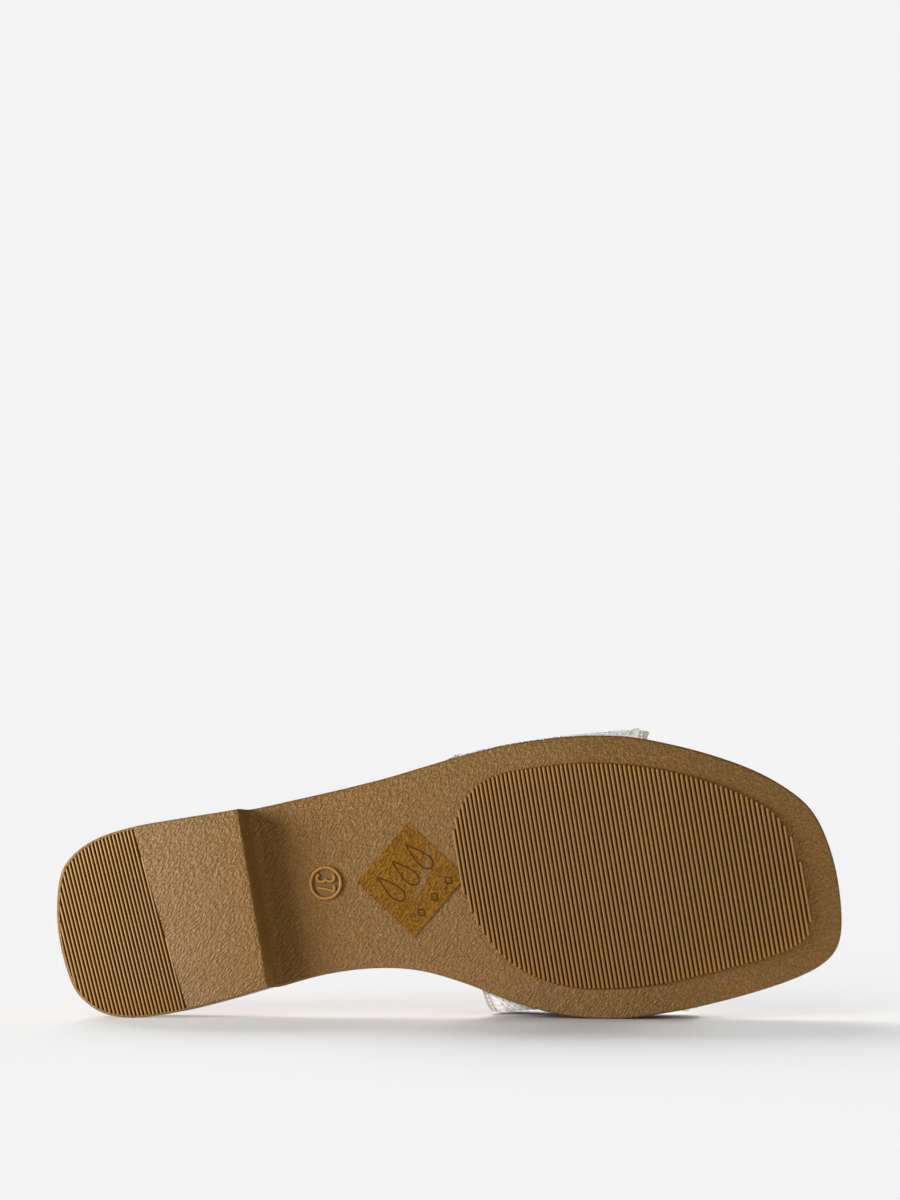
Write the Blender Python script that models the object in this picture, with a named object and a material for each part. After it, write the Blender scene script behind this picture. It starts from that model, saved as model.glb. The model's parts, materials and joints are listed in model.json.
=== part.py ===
"""Slip-on sandal for the right foot: a moulded sole, an insole and one broad strap.

The shoe is worked out standing, with its toe along +X and its inner side, where
the big toe lies, along +Y. It is then laid on that inner side, on the flat that
the heel, the ball and the strap share, with the tread facing -Y.
"""

import math
from collections import namedtuple

import bmesh
import bpy
import numpy as np
from mathutils import Matrix, Vector
from mathutils.bvhtree import BVHTree

MM = 0.001

# Plan of the sole, in millimetres. A section line crosses the shoe at a skew, so
# that its inner end lies further forward, as the ball of the foot does.
SOLE_LENGTH = 248.9
SECTION_SKEW = math.tan(math.radians(10.5))
HEEL_BACK_ACROSS = 9.7
TOE_TIP_ACROSS = -9.6

# Sole edge and heel block
TREAD_ROUND = 1.2
WALL_DRAFT = 0.8
RIM_ROUND = 0.6
ROUND_MIDDLE = 1 - math.sqrt(0.5)
BREAST_AT = 65.5
BREAST_LEAN = 0.5
BREAST_HOLLOW = 6.0

# Insole and strap
GAP = 0.3
INSOLE_THICKNESS = 4.5
INSOLE_RIM = 2.8
INSOLE_ROUND = 1.6
HEEL_CUP = 1.4
ARCH_LIFT = 2.2
ARCH_AT = 105.0
ARCH_REACH = 42.0
FOOTBED_EASE = 14.0
STRAP_WALL = 1.8
STRAP_TURN = 1.5
STRAP_TUCK = 9.0
TUCK_RAMP = 0.6
TUCK_MARGIN = 1.8
TUCK_SHARE_MAX = 0.25
RAMP_SHARE_MAX = 0.03
STRAP_FULLNESS = 0.9

# Mesh fineness
WELD = 0.001
SHARP_ANGLE = math.radians(35)
SETTLE_ROUNDS = 4
SEARCH_REACH = 4.0
CURVE_STEPS = 24
HEEL_STATIONS = 12
FORE_STATIONS = 40
SOLE_COLUMNS = 10
STRAP_STATIONS = 17
SIDE_STEPS = 4
CROWN_STEPS = 14
TURN_STEPS = 3

PlanRow = namedtuple("PlanRow", "along outer inner")
SideRow = namedtuple("SideRow", "along underside seat")
BreastRow = namedtuple("BreastRow", "ahead rise")
StrapRow = namedtuple("StrapRow", "along swell_inner swell_outer belly crown crown_across rake")
Station = namedtuple("Station", "along tread seat")

# Distance from the section line's middle to each edge of the sole
PLAN = [
    PlanRow(2.0, 4.0, 25.4),
    PlanRow(5.0, 11.4, 30.0),
    PlanRow(10.0, 16.5, 33.5),
    PlanRow(18.0, 21.0, 35.0),
    PlanRow(30.0, 24.5, 34.0),
    PlanRow(45.0, 27.0, 30.8),
    PlanRow(65.0, 30.0, 25.5),
    PlanRow(82.0, 33.4, 21.2),
    PlanRow(98.0, 36.7, 19.3),
    PlanRow(112.0, 39.8, 20.0),
    PlanRow(126.0, 43.4, 23.8),
    PlanRow(140.0, 46.9, 29.2),
    PlanRow(156.0, 50.0, 33.4),
    PlanRow(174.0, 51.9, 34.4),
    PlanRow(192.0, 51.8, 32.2),
    PlanRow(207.0, 49.0, 29.0),
    PlanRow(220.0, 45.2, 25.5),
    PlanRow(231.0, 40.6, 21.8),
    PlanRow(239.0, 35.4, 18.0),
    PlanRow(244.0, 30.4, 13.8),
    PlanRow(247.0, 23.8, 7.8),
]

# Heights of the sole's underside, leaving the heel block out, and of its upper face
SIDE = [
    SideRow(0.0, 11.0, 18.8),
    SideRow(35.0, 11.0, 18.2),
    SideRow(66.0, 11.2, 18.2),
    SideRow(85.0, 11.4, 18.3),
    SideRow(105.0, 10.4, 17.3),
    SideRow(125.0, 8.2, 15.1),
    SideRow(145.0, 5.2, 12.1),
    SideRow(165.0, 2.0, 8.9),
    SideRow(180.0, 0.4, 7.3),
    SideRow(190.0, 0.0, 6.9),
    SideRow(200.0, 0.0, 6.9),
    SideRow(212.0, 0.6, 7.4),
    SideRow(230.0, 2.3, 9.0),
    SideRow(249.0, 4.8, 11.3),
]

# The step from the heel's tread up to the shank, as a share of the full rise
BREAST = [
    BreastRow(0.15, 0.76),
    BreastRow(0.5, 0.88),
    BreastRow(1.4, 0.955),
    BreastRow(3.0, 0.99),
]

# Sections of the strap from its rear edge to its front edge
STRAP = [
    StrapRow(129.0, 9.2, 3.5, 10.0, 52.0, -1.0, 4.0),
    StrapRow(144.0, 2.9, 3.3, 10.0, 48.5, -3.0, 1.5),
    StrapRow(162.0, -0.2, 2.8, 10.0, 44.5, -5.0, -3.0),
    StrapRow(180.0, -0.4, 3.3, 10.0, 40.0, -6.0, -7.5),
    StrapRow(196.5, 1.0, 4.7, 10.0, 36.0, -7.0, -11.0),
]


def row_value(rows, column, along):
    """A smooth curve through one column of a table."""
    at = np.array([row.along for row in rows])
    value = np.array([getattr(row, column) for row in rows])
    slope = np.gradient(value, at)
    index = int(np.clip(np.searchsorted(at, along) - 1, 0, len(at) - 2))
    span = at[index + 1] - at[index]
    t = min(max((along - at[index]) / span, 0.0), 1.0)
    start = (1 + 2 * t) * (1 - t) ** 2 * value[index] + t * (1 - t) ** 2 * span * slope[index]
    end = t * t * (3 - 2 * t) * value[index + 1] - t * t * (1 - t) * span * slope[index + 1]
    return start + end


def between(first, second, low, high, at):
    """The point at a knot value, on the straight line through two points with their own knots."""
    return (first * (high - at) + second * (at - low)) / (high - low)


def closed_curve(points, steps):
    """A smooth closed curve through the points, with knots spaced so that it doesn't overshoot."""
    curve = []
    count = len(points)
    for index in range(count):
        near = [points[(index + offset) % count] for offset in (-1, 0, 1, 2)]
        knots = [0.0]
        for first, second in zip(near, near[1:]):
            knots.append(knots[-1] + math.sqrt(np.linalg.norm(second - first)))
        for at in np.linspace(knots[1], knots[2], steps, endpoint=False):
            chords = [between(near[k], near[k + 1], knots[k], knots[k + 1], at) for k in range(3)]
            arcs = [between(chords[k], chords[k + 1], knots[k], knots[k + 2], at) for k in range(2)]
            curve.append(between(arcs[0], arcs[1], knots[1], knots[2], at))
    return np.array(curve)


class SoleEdge:
    """The outline of the sole, read at any section line."""

    def __init__(self):
        heel = [(0.0, HEEL_BACK_ACROSS)]
        toe = [(SOLE_LENGTH, TOE_TIP_ACROSS)]
        outer = [(row.along, -row.outer) for row in PLAN]
        inner = [(row.along, row.inner) for row in reversed(PLAN)]
        marks = np.array(heel + outer + toe + inner)
        marks[:, 0] += marks[:, 1] * SECTION_SKEW
        curve = closed_curve(marks, CURVE_STEPS)
        tangent = np.roll(curve, -1, axis=0) - np.roll(curve, 1, axis=0)
        tangent /= np.linalg.norm(tangent, axis=1)[:, None]
        inward = np.column_stack([-tangent[:, 1], tangent[:, 0]])
        half = (len(PLAN) + 1) * CURVE_STEPS
        closed = np.arange(len(curve) + 1) % len(curve)
        self.sides = {}
        for side, order in (("outer", closed[:half + 1]), ("inner", closed[half:][::-1])):
            self.sides[side] = (curve[order], inward[order])

    def place(self, side, along):
        """Where a section line meets one side, counted in steps from the heel's back.

        In the round ends the line shrinks to a point at the tip of the curve.
        """
        points = self.sides[side][0]
        first, last = PLAN[0].along, PLAN[-1].along
        end = len(points) - 1
        if along < first:
            return CURVE_STEPS * math.sqrt(max(along, 0.0) / first)
        if along > last:
            return end - CURVE_STEPS * math.sqrt(max(SOLE_LENGTH - along, 0.0) / (SOLE_LENGTH - last))
        steps = np.arange(CURVE_STEPS, end - CURVE_STEPS + 1)
        return np.interp(along, (points[:, 0] - points[:, 1] * SECTION_SKEW)[steps], steps)

    def rim(self, side, along, inset):
        """The edge point on a section line, moved square to the edge into the sole."""
        points, inward = self.sides[side]
        place = self.place(side, along)
        steps = np.arange(len(points))
        point = [np.interp(place, steps, points[:, k]) for k in (0, 1)]
        turn = [np.interp(place, steps, inward[:, k]) for k in (0, 1)]
        return np.array(point) + inset * np.array(turn)

    def across(self, side, along, inset):
        """Where a line that runs parallel to the edge crosses a section line."""
        points, inward = self.sides[side]
        moved = points + inset * inward
        at = moved[:, 0] - moved[:, 1] * SECTION_SKEW
        near = np.abs(points[:, 0] - points[:, 1] * SECTION_SKEW - along) < SEARCH_REACH * (1 + inset)
        return float(np.interp(along, at[near], moved[near, 1]))


def sole_stations():
    """Section lines from heel to toe, close together at both ends and at the heel's breast."""
    stations = []
    for angle in np.linspace(0.0, math.pi / 2, HEEL_STATIONS):
        along = (BREAST_AT - TREAD_ROUND) * (1 - math.cos(angle))
        stations.append(Station(along, 0.0, row_value(SIDE, "seat", along)))
    for back, lift in ((ROUND_MIDDLE, ROUND_MIDDLE), (0.0, 1.0)):
        along = BREAST_AT - back * TREAD_ROUND
        stations.append(Station(along, lift * TREAD_ROUND, row_value(SIDE, "seat", along)))
    for row in BREAST:
        along = BREAST_AT + BREAST_LEAN + row.ahead
        rise = row.rise * row_value(SIDE, "underside", along)
        stations.append(Station(along, rise, row_value(SIDE, "seat", along)))
    start = BREAST_AT + BREAST_HOLLOW
    for angle in np.linspace(0.0, math.pi / 2, FORE_STATIONS):
        along = start + (SOLE_LENGTH - start) * math.sin(angle)
        underside = row_value(SIDE, "underside", along)
        stations.append(Station(along, underside, row_value(SIDE, "seat", along)))
    return stations


def loft(name, rings, end_faces=()):
    """Join closed rings of points into one solid.

    A ring that shrinks to a line closes its own end. Any other end takes the given faces.
    """
    bm = bmesh.new()
    loops = [[bm.verts.new(Vector(point) * MM) for point in ring] for ring in rings]
    count = len(loops[0])
    for ring, after in zip(loops, loops[1:]):
        for k in range(count):
            bm.faces.new((ring[k], ring[(k + 1) % count], after[(k + 1) % count], after[k]))
    for ring in (loops[0], loops[-1]):
        for face in end_faces:
            bm.faces.new([ring[k] for k in face])
    bmesh.ops.remove_doubles(bm, verts=bm.verts, dist=WELD * MM)
    bmesh.ops.recalc_face_normals(bm, faces=bm.faces)
    mesh = bpy.data.meshes.new(name)
    bm.to_mesh(mesh)
    bm.free()
    mesh.shade_smooth()
    mesh.set_sharp_from_angle(angle=SHARP_ANGLE)
    piece = bpy.data.objects.new(name, mesh)
    bpy.context.collection.objects.link(piece)
    return piece


def spread(first, last, shares):
    """Points along the straight line from one edge to the other."""
    return [first * (1 - share) + last * share for share in shares]


def build_outsole(edge):
    """Forefoot, shank and heel block, moulded as one piece."""
    rings = []
    shares = np.linspace(0.0, 1.0, SOLE_COLUMNS)
    top_inset = WALL_DRAFT + RIM_ROUND
    for station in sole_stations():
        along, tread, seat = station
        wall = [
            (ROUND_MIDDLE * TREAD_ROUND, tread + ROUND_MIDDLE * TREAD_ROUND),
            (0.0, tread + TREAD_ROUND),
            (WALL_DRAFT, seat - RIM_ROUND),
        ]
        below = spread(edge.rim("outer", along, TREAD_ROUND), edge.rim("inner", along, TREAD_ROUND), shares)
        above = spread(edge.rim("inner", along, top_inset), edge.rim("outer", along, top_inset), shares)
        ring = [(*point, tread) for point in below]
        ring += [(*edge.rim("inner", along, inset), height) for inset, height in wall]
        ring += [(*point, seat) for point in above]
        ring += [(*edge.rim("outer", along, inset), height) for inset, height in reversed(wall)]
        rings.append(ring)
    return loft("outsole", rings)


def footbed_height(along, share):
    """How far the insole's upper face lies from flat: a shallow heel cup and an arch."""
    ease = min(along, SOLE_LENGTH - along, FOOTBED_EASE) / FOOTBED_EASE
    middle = 1 - (2 * share - 1) ** 2
    cup = -HEEL_CUP * middle * math.exp(-(along / BREAST_AT) ** 4)
    arch = ARCH_LIFT * share ** 2 * math.exp(-((along - ARCH_AT) / ARCH_REACH) ** 2)
    return ease * ease * (cup + arch)


def insole_stations():
    """Plain section lines, with a pair at each end of the strap's tuck."""
    start = STRAP[0].along - TUCK_MARGIN
    stop = STRAP[-1].along + TUCK_MARGIN
    ends = [start - TUCK_RAMP, start, stop, stop + TUCK_RAMP]
    angles = np.linspace(0.0, math.pi, HEEL_STATIONS + FORE_STATIONS)
    half = SOLE_LENGTH / 2
    plain = [half * (1 - math.cos(angle)) for angle in angles]
    clear = 2 * TUCK_RAMP
    plain = [along for along in plain if min(abs(along - end) for end in ends) > clear]
    return sorted(plain + ends), start, stop


def build_insole(edge):
    """The footbed, with its edge cut away below where the strap is tucked in."""
    stations, start, stop = insole_stations()
    tuck = STRAP_TUCK + STRAP_TURN + GAP
    plain_columns = SOLE_COLUMNS - 4
    rounded = [(0.0, INSOLE_ROUND), (ROUND_MIDDLE * INSOLE_ROUND, ROUND_MIDDLE * INSOLE_ROUND)]
    face_inset = INSOLE_RIM + INSOLE_ROUND
    face_shares = np.linspace(0.0, 1.0, SOLE_COLUMNS)
    rings = []
    for along in stations:
        seat = row_value(SIDE, "seat", along)
        outer = edge.rim("outer", along, INSOLE_RIM)
        inner = edge.rim("inner", along, INSOLE_RIM)
        width = inner[1] - outer[1]
        step = tuck / max(width, tuck / TUCK_SHARE_MAX)
        ramp = TUCK_RAMP / max(width, TUCK_RAMP / RAMP_SHARE_MAX)
        middle = list(np.linspace(step + ramp, 1 - step - ramp, plain_columns))
        shares = [0.0, step] + middle + [1 - step, 1.0]
        low = seat + GAP
        high = low + (STRAP_WALL + GAP if start <= along <= stop else 0.0)
        heights = [high, high] + [low] * plain_columns + [high, high]
        ring = [(*point, height) for point, height in zip(spread(outer, inner, shares), heights)]
        top = low + INSOLE_THICKNESS
        for inset, drop in rounded:
            height = top - drop + footbed_height(along, 1.0)
            ring.append((*edge.rim("inner", along, INSOLE_RIM + inset), height))
        face_ends = [edge.rim(side, along, face_inset) for side in ("inner", "outer")]
        for point, share in zip(spread(*face_ends, face_shares), face_shares):
            ring.append((*point, top + footbed_height(along, 1 - share)))
        for inset, drop in reversed(rounded):
            height = top - drop + footbed_height(along, 0.0)
            ring.append((*edge.rim("outer", along, INSOLE_RIM + inset), height))
        rings.append(ring)
    return loft("insole", rings)


def strap_line(edge, along):
    """The middle of the strap's wall on one section line, as distance across, height and rake."""
    row = StrapRow(along, *[row_value(STRAP, column, along) for column in StrapRow._fields[1:]])
    floor = row_value(SIDE, "seat", along) + GAP + STRAP_WALL / 2
    inset = INSOLE_RIM - GAP - STRAP_WALL / 2
    inner_foot = edge.across("inner", along, inset)
    outer_foot = edge.across("outer", along, inset)
    springing = floor + STRAP_TURN

    def tuck(foot, sign):
        points = [(foot - sign * (STRAP_TURN + STRAP_TUCK * share), floor, 0.0) for share in (1.0, 0.5)]
        for angle in np.linspace(0.0, math.pi / 2, TURN_STEPS, endpoint=False):
            back = STRAP_TURN * (1 - math.sin(angle))
            rise = STRAP_TURN * (1 - math.cos(angle))
            points.append((foot - sign * back, floor + rise, 0.0))
        return points

    def half_arch(foot, swell):
        belly = springing + row.belly
        points = []
        for share in np.linspace(0.0, 1.0, SIDE_STEPS, endpoint=False):
            across = foot + swell * (1 - (1 - share) ** 2)
            points.append((across, springing + share * row.belly, 0.0))
        for angle in np.linspace(0.0, math.pi / 2, CROWN_STEPS):
            reach = max(math.cos(angle), 0.0) ** STRAP_FULLNESS
            rise = math.sin(angle) ** STRAP_FULLNESS
            across = row.crown_across + (foot + swell - row.crown_across) * reach
            points.append((across, belly + (row.crown - row.belly) * rise, row.rake * rise))
        return points

    inner_half = half_arch(inner_foot, row.swell_inner)
    outer_half = half_arch(outer_foot, -row.swell_outer)
    arch = inner_half + outer_half[-2::-1]
    return tuck(inner_foot, 1.0) + arch + tuck(outer_foot, -1.0)[::-1]


def build_strap(edge):
    """One broad woven band over the foot, turned in under the insole at both feet."""
    rings = []
    for along in np.linspace(STRAP[0].along, STRAP[-1].along, STRAP_STATIONS):
        line = np.array(strap_line(edge, along))
        step = np.gradient(line[:, :2], axis=0)
        step /= np.linalg.norm(step, axis=1)[:, None]
        outward = np.column_stack([step[:, 1], -step[:, 0]])
        ring = []
        for face, points in ((0.5, line), (-0.5, line[::-1])):
            side = outward if face > 0 else outward[::-1]
            for (across, height, rake), turn in zip(points, side):
                across += face * STRAP_WALL * turn[0]
                height += face * STRAP_WALL * turn[1]
                forward = along + across * SECTION_SKEW + rake
                ring.append((forward, across, height))
        rings.append(ring)
    count = len(rings[0])
    cut_edge = [(k, k + 1, count - 2 - k, count - 1 - k) for k in range(count // 2 - 1)]
    return loft("strap", rings, cut_edge)


def plain_material(name, srgb, roughness):
    """A plain finish, its colour given in the 0 to 255 values of a picture."""
    linear = []
    for value in srgb:
        share = value / 255
        linear.append(share / 12.92 if share <= 0.04045 else ((share + 0.055) / 1.055) ** 2.4)
    material = bpy.data.materials.new(name)
    material.use_nodes = True
    shader = material.node_tree.nodes["Principled BSDF"]
    shader.inputs["Base Color"].default_value = (*linear, 1.0)
    shader.inputs["Roughness"].default_value = roughness
    shader.inputs["Metallic"].default_value = 0.0
    material.diffuse_color = (*linear, 1.0)
    return material


def balance_point(pieces):
    """The middle of the shoe's weight, for a shoe that is as heavy throughout."""
    total = 0.0
    moment = Vector((0.0, 0.0, 0.0))
    for piece in pieces:
        piece.data.calc_loop_triangles()
        for triangle in piece.data.loop_triangles:
            a, b, c = [piece.data.vertices[index].co for index in triangle.vertices]
            volume = a.dot(b.cross(c)) / 6
            total += volume
            moment += volume * (a + b + c) / 4
    return moment / total


def lying_placement(pieces):
    """Turn and place the shoe so that it lies at rest on its inner side."""
    hull = bmesh.new()
    for piece in pieces:
        for vertex in piece.data.vertices:
            hull.verts.new(vertex.co)
    bmesh.ops.convex_hull(hull, input=hull.verts)
    tree = BVHTree.FromBMesh(hull)
    centre = balance_point(pieces)
    inner_side = Vector((0.0, 1.0, 0.0))
    down = inner_side
    for _ in range(SETTLE_ROUNDS):
        down = tree.ray_cast(centre, down)[1]
        if down.dot(inner_side) < 0:
            down = -down
    length = Vector((1.0, 0.0, 0.0))
    length = (length - length.dot(down) * down).normalized()
    turn = Matrix((length, (-down).cross(length), -down))
    laid = np.array([turn @ vertex.co for vertex in hull.verts])
    hull.free()
    low, high = laid.min(axis=0), laid.max(axis=0)
    shift = Vector((-(low[0] + high[0]) / 2, -(low[1] + high[1]) / 2, -low[2]))
    return Matrix.Translation(shift) @ turn.to_4x4()


def main():
    for item in list(bpy.data.objects):
        bpy.data.objects.remove(item, do_unlink=True)
    edge = SoleEdge()
    finishes = [
        (build_outsole(edge), plain_material("tan_rubber", (150, 116, 76), 0.55)),
        (build_insole(edge), plain_material("insole_cover", (186, 146, 108), 0.6)),
        (build_strap(edge), plain_material("white_weave", (232, 228, 222), 0.8)),
    ]
    pieces = []
    for piece, material in finishes:
        piece.data.materials.append(material)
        pieces.append(piece)
    sandal = bpy.data.objects.new("sandal", None)
    bpy.context.collection.objects.link(sandal)
    sandal.matrix_world = lying_placement(pieces)
    for piece in pieces:
        piece.parent = sandal


main()
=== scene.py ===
"""Looks of a slip-on sandal for the right foot, lying on its inner side, laid out as an add-on.

Shapes are worked out in millimetres on the standing shoe, with its toe along +X, its inner side
along +Y and the ground at height zero. The outsole in the frame says how the shoe lies.
"""

import json
import math
from collections import namedtuple

import bmesh
import bpy
import numpy as np
from bpy.props import FloatProperty, FloatVectorProperty, PointerProperty
from mathutils import Matrix, Vector

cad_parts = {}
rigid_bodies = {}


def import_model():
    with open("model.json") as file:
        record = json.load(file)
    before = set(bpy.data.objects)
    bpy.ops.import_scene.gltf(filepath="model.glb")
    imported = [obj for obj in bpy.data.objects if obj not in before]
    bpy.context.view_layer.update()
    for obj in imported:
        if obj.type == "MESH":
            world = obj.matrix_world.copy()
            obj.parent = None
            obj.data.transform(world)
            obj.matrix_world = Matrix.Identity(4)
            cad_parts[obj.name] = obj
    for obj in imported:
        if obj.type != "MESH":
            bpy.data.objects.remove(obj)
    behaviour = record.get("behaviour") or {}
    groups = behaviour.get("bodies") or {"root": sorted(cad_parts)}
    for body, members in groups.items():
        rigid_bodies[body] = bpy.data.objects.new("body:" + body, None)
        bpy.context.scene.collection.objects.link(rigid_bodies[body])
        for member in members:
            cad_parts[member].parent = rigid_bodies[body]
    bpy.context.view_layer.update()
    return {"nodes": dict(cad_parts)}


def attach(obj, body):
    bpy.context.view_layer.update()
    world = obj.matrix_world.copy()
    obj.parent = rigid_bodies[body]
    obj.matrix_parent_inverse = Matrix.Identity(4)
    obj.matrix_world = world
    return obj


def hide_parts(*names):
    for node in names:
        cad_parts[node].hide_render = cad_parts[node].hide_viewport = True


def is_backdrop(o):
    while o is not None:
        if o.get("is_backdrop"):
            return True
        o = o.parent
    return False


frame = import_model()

bl_info = {
    "name": "Slip-on sandal",
    "version": (1, 0, 0),
    "blender": (4, 5, 0),
    "location": "3D View > Sidebar > Sandal",
    "description": "Builds the visible surfaces of a slip-on sandal around its fixed frame",
    "category": "Object",
}

BODY = "root"
MM = 0.001
DOWN = (0.0, 0.0, -1.0)

# Plan and side of the sole, as in the solid
SOLE_LENGTH = 248.9
SECTION_SKEW = math.tan(math.radians(10.5))
HEEL_BACK_ACROSS = 9.7
TOE_TIP_ACROSS = -9.6
WALL_DRAFT = 0.8
RIM_ROUND = 0.6
BREAST_AT = 65.5
BREAST_LEAN = 0.3
BREAST_FILLET = 2.8
FILLET_RUNOUT = 0.5

# Faces of the frame's outsole that belong to the heel's tread: how square to the view, and how far back
TREAD_FACING = -0.98
HEEL_FACES_BEHIND = -0.075

# Insole and strap, as in the solids
GAP = 0.3
INSOLE_THICKNESS = 4.5
INSOLE_RIM = 2.8
INSOLE_ROUND = 1.6
HEEL_CUP = 1.4
ARCH_LIFT = 2.2
ARCH_AT = 105.0
ARCH_REACH = 42.0
FOOTBED_EASE = 14.0
STRAP_WALL = 1.8
STRAP_TURN = 1.5
STRAP_TUCK = 9.0
TUCK_RAMP = 0.6
TUCK_MARGIN = 1.8
TUCK_SHARE_MAX = 0.25
RAMP_SHARE_MAX = 0.03
STRAP_FULLNESS = 0.9

# Fineness
WELD = 0.001
CURVE_STEPS = 24
SEARCH_REACH = 4.0
HEEL_STATIONS = 60
FORE_STATIONS = 150
ROUND_STEPS = 5
SOLE_COLUMNS = 24
SIDE_STEPS = 12
CROWN_STEPS = 60
TURN_STEPS = 8
BEAD_STEPS = 9
BAR_STEP = 6.0
BAR_TIP = np.array([0.0, 0.04, 0.15, 0.35, 0.65, 1.0])
CIRCLE_STEPS = 96
BOWL_STEPS = 24
STROKE_STEP = 0.14
FILM_STEPS = 64
DROP_STEPS = 48
DIAMOND_STEP = 0.25
PITCH_SAMPLES = 4
ROW_SAMPLES = 8
LINING_ROWS = 48
LINING_STEP = 3
CORD_STEP = 0.22
CORD_AROUND = 14
THREAD_STEP = 0.2
SHARP_ANGLE = math.radians(40)

PlanRow = namedtuple("PlanRow", "along outer inner")
SideRow = namedtuple("SideRow", "along underside seat")
StrapRow = namedtuple("StrapRow", "along swell_inner swell_outer belly crown crown_across rake")
Station = namedtuple("Station", "along tread seat")

# Distance from the section line's middle to each edge of the sole
PLAN = [PlanRow(*row) for row in (
    (2.0, 4.0, 25.4), (5.0, 11.4, 30.0), (10.0, 16.5, 33.5), (18.0, 21.0, 35.0), (30.0, 24.5, 34.0),
    (45.0, 27.0, 30.8), (65.0, 30.0, 25.5), (82.0, 33.4, 21.2), (98.0, 36.7, 19.3), (112.0, 39.8, 20.0),
    (126.0, 43.4, 23.8), (140.0, 46.9, 29.2), (156.0, 50.0, 33.4), (174.0, 51.9, 34.4), (192.0, 51.8, 32.2),
    (207.0, 49.0, 29.0), (220.0, 45.2, 25.5), (231.0, 40.6, 21.8), (239.0, 35.4, 18.0), (244.0, 30.4, 13.8),
    (247.0, 23.8, 7.8))]

# Heights of the sole's underside, leaving the heel block out, and of its upper face
SIDE = [SideRow(*row) for row in (
    (0.0, 11.0, 18.8), (35.0, 11.0, 18.2), (66.0, 11.2, 18.2), (85.0, 11.4, 18.3), (105.0, 10.4, 17.3),
    (125.0, 8.2, 15.1), (145.0, 5.2, 12.1), (165.0, 2.0, 8.9), (180.0, 0.4, 7.3), (190.0, 0.0, 6.9),
    (200.0, 0.0, 6.9), (212.0, 0.6, 7.4), (230.0, 2.3, 9.0), (249.0, 4.8, 11.3))]

# Sections of the strap from its rear edge to its front edge
STRAP = [StrapRow(*row) for row in (
    (129.0, 9.2, 3.5, 10.0, 52.0, -1.0, 4.0),
    (144.0, 2.9, 3.3, 10.0, 48.5, -3.0, 1.5),
    (162.0, -0.2, 2.8, 10.0, 44.5, -5.0, -3.0),
    (180.0, -0.4, 3.3, 10.0, 40.0, -6.0, -7.5),
    (196.5, 1.0, 4.7, 10.0, 36.0, -7.0, -11.0))]

# The ribbed field under the forefoot, with its rear and front tip
RIB_FIELD = [PlanRow(*row) for row in (
    (132.5, 26.2, 1.1), (137.4, 33.6, 11.9), (143.3, 38.1, 18.1), (151.0, 40.9, 22.3), (162.7, 42.7, 25.2),
    (176.4, 43.8, 25.3), (190.0, 43.3, 23.9), (203.6, 41.3, 21.0), (217.3, 37.3, 17.6), (227.0, 33.0, 14.7),
    (233.8, 28.1, 11.8), (237.7, 20.4, 8.2))]
FIELD_REAR_TIP = (130.4, -14.7)
FIELD_FRONT_TIP = (239.1, -4.8)
RIB_LEAN = math.radians(10.0)
RIB_LEAST = 3.0
RIB_ROOT = 0.3

# The ribbed part of the heel ends at a straight line, given by two points
HEEL_LINE = np.array([(25.89, -23.87), (43.82, 31.73)])
HEEL_RIB_LEAN = math.radians(15.2)
HEEL_RIM = 0.65
HEEL_ZONE_SHIFT = 0.4
HEEL_RIB_SINK = 0.05
HEEL_RIB_ROOT = 0.2
HEEL_RIB_OVERRUN = 0.35
GROOVES_FROM = -2.0

# Section of a bead: how square it is, and how thin its tips are
BEAD_FULLNESS = 0.8
BEAD_TIP = 0.08

# Size ring, its disc and its number, read across the shoe
RING_CENTRE = np.array([85.5, -7.2])
RING_RADIUS = 4.85
RING_WIDTH = 1.05
STROKE_WIDTH = 0.95
MARK_ROOT = 0.2
MARK_FULLNESS = 0.6
DISC_LEVELS = (0.06, -0.1)
Bowl = namedtuple("Bowl", "start end across up wide high")
THREE = [Bowl(155, -75, -1.6, 1.4, 1.15, 1.4), Bowl(75, -155, -1.6, -1.35, 1.25, 1.5)]
SEVEN = np.array([(0.55, 2.8), (2.6, 2.8), (2.1, 1.1), (1.65, -1.1), (1.45, -2.85)])

# How fast the painted shade at the foot of a bead gives way towards its top
FIELD_SHADE_POWER = 4.5
HEEL_SHADE_POWER = 2.5
MARK_SHADE_POWER = 0.6

# Protective film, as a turned square, with its wrinkle, its loose edge and its marks
FILM_CENTRE = np.array([113.3, -8.2])
FILM_SIZE = 25.4
FILM_TURN = math.radians(-48.0)
FILM_LIFT = 0.07
FILM_THICKNESS = 0.05
INK_WIDTH = 0.45
INK_HEIGHT = 0.04
INK_ROOT = 0.02
WRINKLE_FOOT = 4.5
WRINKLE_MIDDLE = 4.0
WRINKLE_REACH = 7.0
WRINKLE_WIDTH = 0.75
WRINKLE_BEND = 0.035
WRINKLE_RISE = 0.2
WRINKLE_LEAN = math.radians(25.0)
LOOSE_RISE = 0.35
LOOSE_WIDTH = 2.0
DROPS_ACROSS = (-6.8, 0.0, 6.8)
DROPS_UP = -3.0
DROP_REACH = 5.4
DROP_WIDTH = 1.35
DROP_FULL = 1.25
DROP_TAPER = 0.85
DROP_LEAN = 0.5
DIAMONDS_ACROSS = (-5.4, 1.15, 8.05)
DIAMONDS_UP = 9.3
DIAMOND = [(-1.2, 0.0), (0.0, 1.5), (1.2, 0.0), (0.0, -1.5), (-1.2, 0.0)]

# Levels on the strap, counted from the middle of its wall
STRAP_LEVEL = 0.2
TUCK_LEVEL = 0.85
FOLD_UNDER = -0.9
WEAVE_UNDER = -0.3
LINING_LEVELS = (-0.36, -0.9)

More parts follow.
